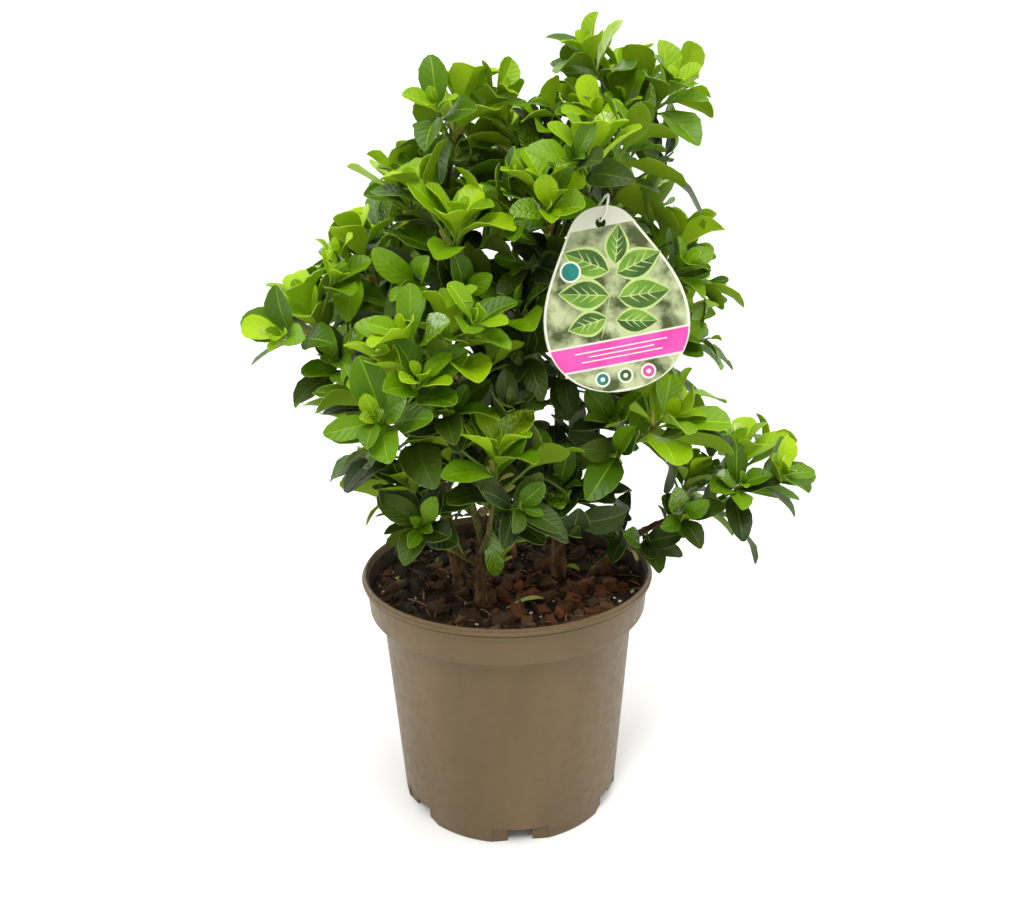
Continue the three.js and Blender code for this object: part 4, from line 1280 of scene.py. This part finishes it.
# %% Bud scales
SCALE_BACKS = (22, 24, 26, 28.5, 31, 33.5, 36, 39)
SCALE_MISSING, STRAW_SHARE = 0.2, 0.4
scale_skins = [grained("scale_pale", (192, 190, 88), 0.5, 0.35, 700, 0.2, stretch=(1, 1, 0.4)),
               grained("scale_straw", (164, 146, 72), 0.6, 0.3, 700, 0.2, stretch=(1, 1, 0.4))]
SCALE_MANNER = dict(width=0.24, arch=0.1, droop=-0.08, cup=0.12, bulge=1.0, ripple=0.02, twist=0.5)
scales = []
for index, shoot in enumerate(SHOOTS):
    twig = shoot["twigs"][0]
    for number, back in enumerate(SCALE_BACKS):
        t = 1 - back / twig["length"]
        keys = (index, 50 + number, 0, 0)
        if t < twig["start"] or chance(*keys, 30) < SCALE_MISSING:
            continue
        out, here = outward(twig["curve"], t, any_turn(*keys, 31)), ahead(twig["curve"], t)
        lean = math.radians(between(16, 52, *keys, 32))
        along = here * math.cos(lean) + out * math.sin(lean)
        normal = here * math.sin(lean) - out * math.cos(lean)
        scale = dict(foot=at(twig["curve"], t) + out, along=along, normal=normal,
                     across=np.cross(along, normal), length=between(9, 17, *keys, 33), keys=keys)
        corners, faces, kinds = blanks["young"]
        slots = [int(chance(*keys, 34) > 1 - STRAW_SHARE)] * len(faces)
        scales.append((bent(scale, corners, SCALE_MANNER), faces, slots))
dress(joined("bud_scales", scales, scale_skins), "leaf", *masses)
print(len(scales), "bud scales")

# %% [markdown]
# ## The mulch
# The compost is covered with chopped bark: dark rotten crumbs at the left, fresher red-brown chips
# at the right, with splinters, fibres and a few white grains of perlite between. Three chips are
# modelled from a cube whose corners are thrown about. Copies of them are turned, stretched and laid
# on the soil by a ray from above, all in one mesh.

# %% Chip blanks
def chip_blank(seed):
    """An angular lump one unit long."""
    bpy.ops.mesh.primitive_cube_add(size=1)
    chip = bpy.context.object
    only(chip)
    bpy.ops.object.mode_set(mode="EDIT")
    bpy.ops.mesh.select_all(action="SELECT")
    bpy.ops.mesh.subdivide(number_cuts=1)
    bpy.ops.transform.vertex_random(offset=0.2, uniform=1.0, seed=seed)
    bpy.ops.mesh.bevel(offset=0.08, segments=1)
    bpy.ops.transform.resize(value=(1, 0.66, 0.42), center_override=(0, 0, 0))
    bpy.ops.object.mode_set(mode="OBJECT")
    return arrays_of(chip)


chips = [chip_blank(seed) for seed in (1, 4, 9)]


def on_soil(x, y):
    """A place on the soil's surface in mm, straight under a point."""
    hit = soil.ray_cast(Vector((x * MM, y * MM, 0.2)), Vector((0, 0, -1)))[1]
    return np.array(hit) / MM


def scattered(number, seed):
    """A random place on the soil inside the collar."""
    radius = (soil_edge - 4) * math.sqrt(chance(number, seed))
    angle = 2 * math.pi * chance(number, seed, 1)
    return on_soil(radius * math.cos(angle), radius * math.sin(angle))


# %% Chips and grains
CHIPS, GRAINS = 620, 46
# From rotten to fresh
CHIP_TONES = [(44, 32, 20), (66, 46, 28), (92, 66, 42), (96, 56, 32), (126, 70, 36), (136, 106, 72)]
FRESH_PLACE, FRESH_REACH = np.array((30, -28)), 45.0
chip_skins = [grained(f"chip_{number}", tone, 0.88, 0.25, 900, 0.6, 4, (1, 0.3, 1))
              for number, tone in enumerate(CHIP_TONES)]


def laid(blank_shape, place, size, keys, slot, tilt=0.5):
    """A copy of a lump, turned and scaled, with its middle a little above the soil."""
    corners, faces = blank_shape
    turn = Euler((between(-tilt, tilt, *keys, 2), between(-tilt, tilt, *keys, 3), any_turn(*keys, 4)))
    shaped = corners * size * (1, between(0.7, 1.2, *keys, 5), between(0.7, 1.5, *keys, 6))
    return shaped @ np.array(turn.to_matrix()).T + place + UP * size * 0.1, faces, [slot] * len(faces)


mulch = []
for number in range(CHIPS):
    place = scattered(number, 40)
    size = 3.0 + 10 * chance(number, 41) ** 3
    fresh = math.exp(-((np.linalg.norm(place[:2] - FRESH_PLACE) / FRESH_REACH) ** 2))
    tone = min(len(CHIP_TONES) - 1, int(3 * chance(number, 42) + 3 * fresh * chance(number, 43)))
    mulch.append(laid(chips[number % 3], place, size, (number, 44), tone))
dress(joined("bark_chips", mulch, chip_skins, 30), "soil")
perlite = grained("perlite", (206, 200, 190), 0.9, 0.2, 1500, 0.3)
grains = [laid(chips[number % 3], scattered(number, 50) + UP, between(1.2, 2.4, number, 51), (number, 52), 0)
          for number in range(GRAINS)]
dress(joined("perlite_grains", grains, [perlite]), "soil")

# %% [markdown]
# ### Fibres and fallen leaves
# Splinters and fibres are the same tubes as the twigs, thinner and with four sides. The fallen
# leaflets are the leaf blank laid flat where the picture shows them.

# %% Fibres
FIBRES = 90
fibre_skins = [grained("fibre_tan", (150, 112, 70), 0.8, 0.5, 1200, 0.2),
               grained("fibre_brown", (92, 60, 36), 0.85, 0.5, 1200, 0.2)]
fibres = []
for number in range(FIBRES):
    place = scattered(number, 60) + UP * 0.6
    angle, reach = any_turn(number, 61), between(3, 11, number, 62)
    way = np.array((math.cos(angle), math.sin(angle), between(-0.05, 0.25, number, 63)))
    curve = np.array([place - way * reach, place + UP * between(0.5, 2.5, number, 64), place + way * reach])
    thick = between(0.22, 0.6, number, 65)
    fibres.append(tube(curve, 0, 1, (thick, thick * 0.5), 6, 4, int(chance(number, 66) > 0.5)))
dress(joined("soil_fibres", fibres, fibre_skins), "soil")

# %% Fallen leaflets
GREEN_LEAF, PALE_LEAF = 0, 1
FALLEN = [((-76, -7), 15, 11, GREEN_LEAF), ((-72, -2), 110, 8, GREEN_LEAF), ((-50, 24), 60, 12, GREEN_LEAF),
          ((-24, 4), 150, 12, GREEN_LEAF), ((36, 14), -25, 14, GREEN_LEAF), ((-12, -8), 200, 10, GREEN_LEAF),
          ((-1, -45), 17, 25, PALE_LEAF)]  # place, heading in degrees, length and skin
FALLEN_WIDTHS = (0.45, 0.2)
fallen_skins = [leafy("fallen_green", (132, 150, 44), 0.5, 0.3),
                leafy("fallen_pale", (176, 190, 96), 0.5, 0.2)]
fallen = []
corners, faces, kinds = blanks["young"]
for number, ((x, y), heading, length, skin) in enumerate(FALLEN):
    heading = math.radians(heading)
    along = unit(np.array((math.cos(heading), math.sin(heading), 0.12)))
    normal = squared(UP, along)
    leaf = dict(foot=on_soil(x, y) + UP * 2.4, along=along, normal=normal,
                across=np.cross(along, normal), length=length, keys=(number, 70, 0, 0))
    manner = {**MANNERS["young"], "width": FALLEN_WIDTHS[skin]}
    fallen.append((bent(leaf, corners, manner), faces, [skin] * len(faces), blade_uv(corners)))
dress(joined("fallen_leaflets", fallen, fallen_skins), "leaf")

# %% [markdown]
# ## The label
# The label is a drop of printed plastic card, slightly bowed, with a hole for its string. Its print
# is a plain design: a sprig of leaves on a dull green ground, a pink band and a few round marks. The
# card and each printed shape are traced in the upright plane, a hair apart. Cut by the same upright
# lines, they bow together without touching, and then they are hung in place.

# %% Label outline
def bezier(a, b, c, d, count):
    """Points on a curve from a to d, pulled towards b and c on the way."""
    t = np.linspace(0, 1, count + 1)[:, None]
    a, b, c, d = (np.array(point, float) for point in (a, b, c, d))
    return (1 - t) ** 3 * a + 3 * t * (1 - t) ** 2 * b + 3 * t**2 * (1 - t) * c + t**3 * d


half = LABEL_WIDE / 2
WIDEST = -0.64 * LABEL_HIGH
right_edge = np.concatenate([
    bezier((0, -LABEL_HIGH), (0.56 * half, -LABEL_HIGH), (half, -0.86 * LABEL_HIGH), (half, WIDEST), 12)[:-1],
    bezier((half, WIDEST), (half, -0.46 * LABEL_HIGH), (0.8 * half, -0.34 * LABEL_HIGH),
           (0.5 * half, -0.14 * LABEL_HIGH), 10)[:-1],
    bezier((0.5 * half, -0.14 * LABEL_HIGH), (0.36 * half, -0.03 * LABEL_HIGH), (0.22 * half, 0), (0, 0), 8)])


def half_width(z):
    """Half the label's width at a height, which counts down from its apex."""
    return float(np.interp(z, right_edge[:, 1], right_edge[:, 0]))


def slice_of(top, bottom, inset, steps=12):
    """The part of the drop between two heights, as an outline inside its edge."""
    right = [(half_width(z) - inset, z) for z in np.linspace(bottom, top, steps + 1)]
    return right + [(-x, z) for x, z in reversed(right)]


def printed_disc(x, z, radius, steps=28):
    """The outline of a round print."""
    return [(x + radius * math.cos(a), z + radius * math.sin(a))
            for a in np.linspace(0, 2 * math.pi, steps, endpoint=False)]


def printed_leaf(x, z, angle, length, side, share_wide=0.27):
    """Half a leaf, on one side of its midrib, or the midrib itself when side is 0."""
    shares = np.linspace(0, 1, 9)
    wide = share_wide * length * np.sin(math.pi * shares**0.85)
    if side:
        across = np.concatenate([side * wide, np.zeros(7)])
    else:
        across = np.concatenate([0.35 - 0.3 * shares, -(0.35 - 0.3 * shares[-2:0:-1])])
    along = np.concatenate([shares, shares[-2:0:-1]]) * length
    c, s = math.cos(math.radians(angle)), math.sin(math.radians(angle))
    return list(zip(x + along * c - across * s, z + along * s + across * c))


# %% [markdown]
# ### The print
# Ink on plastic card is thin, smooth and a little mottled. An image could carry it, but plain shapes
# with their own finishes stay sharp from close by. Each shape is traced as an outline, filled, and
# lifted off the one below by a twentieth of a millimetre.

# %% Label inks
label_card = grained("label_card", (222, 222, 204), 0.35, 0.45, 800, 0.02)


def ink(name, colour, other=None):
    """A printed colour, mottled towards a second one."""
    finish = grained(name, colour, 0.3, 0.45, 800, 0.02)
    if other:
        mottle = noise(finish, 90, 3)
        drive(finish, Base_Color=ramp(finish, mottle, (0.38, srgb(*colour)), (0.6, srgb(*other))))
    return finish


ground = ink("print_ground", (66, 78, 34), (188, 196, 148))
light_half = ink("print_leaf_light", (122, 162, 50), (92, 138, 36))
dark_half = ink("print_leaf_dark", (70, 108, 34), (50, 84, 26))
rib = ink("print_rib", (186, 206, 126))
pink = ink("print_pink", (234, 62, 158), (240, 84, 172))
teal = ink("print_teal", (16, 112, 104), (24, 128, 118))
cream = ink("print_cream", (228, 230, 210))
print("a label", LABEL_WIDE, "by", LABEL_HIGH, "mm in seven inks")

# %% Label layers
# Printed leaves: x and z of the foot, heading in degrees, and length
SPRIG = [(4, -29, 76, 19), (0, -32, 148, 24), (4, -34, 16, 24), (-2, -44, 168, 25), (3, -46, -2, 26),
         (-5, -55, 188, 20), (0, -57, -12, 21)]
LAYER = 0.05  # mm from one print to the next, so that none lies in another's plane
DISC_X, DISC_Z, MARK_Z, MARKS_X = -19, -29, -85.8, (-12, 0, 12)
# Each print is an outline, a colour and the level that it lies on
label_layers = [(slice_of(-10, -66, 1.4), ground, 1), (slice_of(-67, -79, 0.8, 5), pink, 1),
                (slice_of(-80, -92.6, 1.4, 5), ground, 1)]
for x, z, angle, length in SPRIG:
    c, s = math.cos(math.radians(angle)), math.sin(math.radians(angle))
    back = (x - 0.6 * c, z - 0.6 * s, angle, length + 1.3)
    label_layers += [(printed_leaf(*back, side, 0.32), rib, 2) for side in (1, -1)]
    label_layers += [(printed_leaf(x, z, angle, length, side), colour, 3)
                     for side, colour in ((1, light_half), (-1, dark_half))]
    label_layers.append((printed_leaf(x, z, angle, length, 0), rib, 4))
    label_layers += [(printed_leaf(x + share * length * c, z + share * length * s, angle + turn,
                                   0.27 * length, 0), rib, 4)
                     for share in (0.2, 0.38, 0.56) for turn in (38, -38)]
label_layers.append((printed_leaf(-9, -65.5, 70, 34, 0), rib, 2))
label_layers += [(printed_disc(DISC_X, DISC_Z, 5.4), cream, 5), (printed_disc(DISC_X, DISC_Z, 4.4), teal, 6)]
label_layers += [([(-w, z - 0.3), (w, z - 0.3), (w, z + 0.3), (-w, z + 0.3)], cream, 2)
                 for w, z in ((24, -70.6), (17, -73), (21, -75.4))]
for x, colour in zip(MARKS_X, (teal, dark_half, pink)):
    label_layers += [(printed_disc(x, MARK_Z, 4), cream, 2), (printed_disc(x, MARK_Z, 3), colour, 3),
                     (printed_disc(x, MARK_Z, 1.2), cream, 4)]


def face_forward():
    """Fills the traced outline and turns its face to the front."""
    bpy.ops.mesh.edge_face_add()
    mesh = bmesh.from_edit_mesh(bpy.context.object.data)
    mesh.faces.ensure_lookup_table()
    mesh.normal_update()
    if mesh.faces[0].normal.y > 0:
        bpy.ops.mesh.flip_normals()


card = traced("printed_label", [*right_edge, *[(-x, z) for x, z in reversed(right_edge[1:-1])]])
face_forward()
bpy.ops.mesh.extrude_region_move(TRANSFORM_OT_translate={"value": (0, LABEL_THICK * MM, 0)})
bpy.ops.mesh.select_all(action="SELECT")
bpy.ops.mesh.normals_make_consistent(inside=False)
bpy.ops.object.mode_set(mode="OBJECT")
card.data.materials.append(label_card)
bpy.ops.mesh.primitive_cylinder_add(vertices=32, radius=HOLE_RADIUS * MM, depth=4 * MM,
                                    location=(0, 0, -HOLE_DROP * MM), rotation=(math.pi / 2, 0, 0))
punch = bpy.context.object
modified(card, "BOOLEAN", object=punch, operation="DIFFERENCE", solver="EXACT")
bpy.data.objects.remove(punch)

layers = [card]
for outline, colour, level in label_layers:
    layer = traced("print", outline)
    face_forward()
    bpy.ops.transform.translate(value=(0, -level * LAYER * MM, 0))
    bpy.ops.object.mode_set(mode="OBJECT")
    layer.data.materials.append(colour)
    layers.append(layer)
only(*layers)
bpy.ops.object.join()

# %% [markdown]
# ### Bowing and hanging
# A hanging card is never quite flat. A bend moves only the corners that are there, so the card and its
# print are first cut by the same upright lines. Then the label is leaned, rolled and put in its place.

# %% Bow and hang the label
BOW, BOW_STEP = 0.13, 5
bpy.ops.object.mode_set(mode="EDIT")
for x in range(-7 * BOW_STEP, 8 * BOW_STEP, BOW_STEP):
    bpy.ops.mesh.select_all(action="SELECT")
    bpy.ops.mesh.bisect(plane_co=(x * MM, 0, 0), plane_no=(1, 0, 0))
bpy.ops.object.mode_set(mode="OBJECT")
modified(card, "SIMPLE_DEFORM", deform_method="BEND", deform_axis="Z", angle=BOW)
hang = Matrix.Translation(LABEL_APEX * MM) @ label_frame.to_3x3().to_4x4()
settled(card, hang @ Matrix.Rotation(-math.pi / 2, 4, "X") @ Matrix.Translation((0, -LABEL_THICK * MM, 0)))
smooth(card, 30)
dress(card, "label", "label")

# %% [markdown]
# ### The string
# A thin white string loops round the bough above and through the hole. Its route is a closed curve
# through points that are set from the bough's radius and the hole, smoothed and given a thickness.

# %% String
STRING_RADIUS = 0.6
string_bough = bough_radius(string_shoot)(STRING_AT / string_shoot["share"])
string_off = string_bough + STRING_RADIUS + 0.5
string_way = ahead(string_shoot["curve"], STRING_AT)
string_side = squared(ACROSS, string_way)
string_behind = squared(np.array((0.0, 1.0, 0.0)), string_way)
string_out = np.array((label_frame.to_3x3() @ Vector((0, 0, 1)))[:])
hole_rest = hole + UP * (HOLE_RADIUS - STRING_RADIUS - 2 * CLEAR)


def near(across, back):
    """A point round the bough, in shares of the string's distance from its middle."""
    return string_top + (string_side * across + string_behind * back) * string_off


def through(across, forward, lift):
    """A point by the hole, in mm."""
    return hole_rest + np.array((across, 0, lift)) + string_out * forward


knots = np.array([
    near(0, 1.15), near(1.1, 0.2), near(1.3, -2.4), through(3, 3.2, 12), through(2.2, 3.6, 4),
    through(0.5, 1.8, 0), through(-0.5, -1.8, 0), through(-2.2, -3.6, 4), near(-1.3, -2.4), near(-1.1, 0.2)])


def through_knots(points, steps):
    """A closed smooth curve through points, each stretch shaped by its neighbours."""
    route = []
    t = np.linspace(0, 1, steps, endpoint=False)[:, None]
    for i in range(len(points)):
        a, b, c, d = (points[(i + shift) % len(points)] for shift in (-1, 0, 1, 2))
        route.append(0.5 * (2 * b + (c - a) * t + (2 * a - 5 * b + 4 * c - d) * t**2
                            + (3 * b - a - 3 * c + d) * t**3))
    return np.concatenate(route)


route = through_knots(knots, 9)
string = wood_curve("label_cord", [(np.vstack([route, route[:1]]), np.full(len(route) + 1, STRING_RADIUS))])
cotton = grained("white_cord", (226, 224, 214), 0.8, 0.25, 1600, 0.2, stretch=(1, 1, 0.5))
string.data.materials.append(cotton)
smooth(string, 60)
dress(string, "string", "label_string")

# %% [markdown]
# ## Light and backdrop
# Soft studio light: a large lamp high in front, a smaller one beside it that gives the shadows an edge,
# two weak ones at the sides, one for the wall behind, and a pale room. The floor curves up into a wall
# on all sides, so there is no horizon line from any angle.

# %% Floor, lamps and world
FLOOR_RADIUS, WALL_BEND, WALL_TOP = 3600.0, 900.0, 3600.0
backdrop = turned("backdrop", [(0, 0), *arc((FLOOR_RADIUS - WALL_BEND, WALL_BEND), WALL_BEND, -90, 0, 12),
                               (FLOOR_RADIUS, WALL_TOP)], 64)
backdrop.data.flip_normals()
paper = grained("paper", (250, 250, 249), 0.9, 0.1, 300, 0.02)
backdrop.data.materials.append(paper)
smooth(backdrop, 60)


def lamp(name, place, size, watts, aim):
    """A square area lamp, with its places and size in metres."""
    light = bpy.data.lights.new(name, "AREA")
    light.size, light.energy = size, watts
    one = bpy.data.objects.new(name, light)
    one.location = place
    one.rotation_euler = (Vector(aim) - Vector(place)).to_track_quat("-Z", "Y").to_euler()
    bpy.context.scene.collection.objects.link(one)


CROWN, WALL_BEHIND = (0, 0, 0.28), (0, 3.6, 1.2)
lamp("overhead", (0.3, -0.8, 2.8), 1.6, 44, CROWN)
lamp("key", (-0.5, -1.5, 2.3), 0.6, 26, CROWN)
lamp("left", (-1.8, 0.4, 0.9), 0.9, 9, CROWN)
lamp("right", (1.8, 0.3, 1.0), 0.9, 12, CROWN)
lamp("background", (0, 1.3, 3.2), 1.6, 60, WALL_BEHIND)
ROOM_LIGHT = 0.2
room = bpy.data.worlds.new("room")
room.use_nodes = True
feed(room, room.node_tree.nodes["Background"], {"Color": (1, 1, 1, 1), "Strength": ROOM_LIGHT})
bpy.context.scene.world = room
bpy.context.scene.view_settings.view_transform = "Standard"
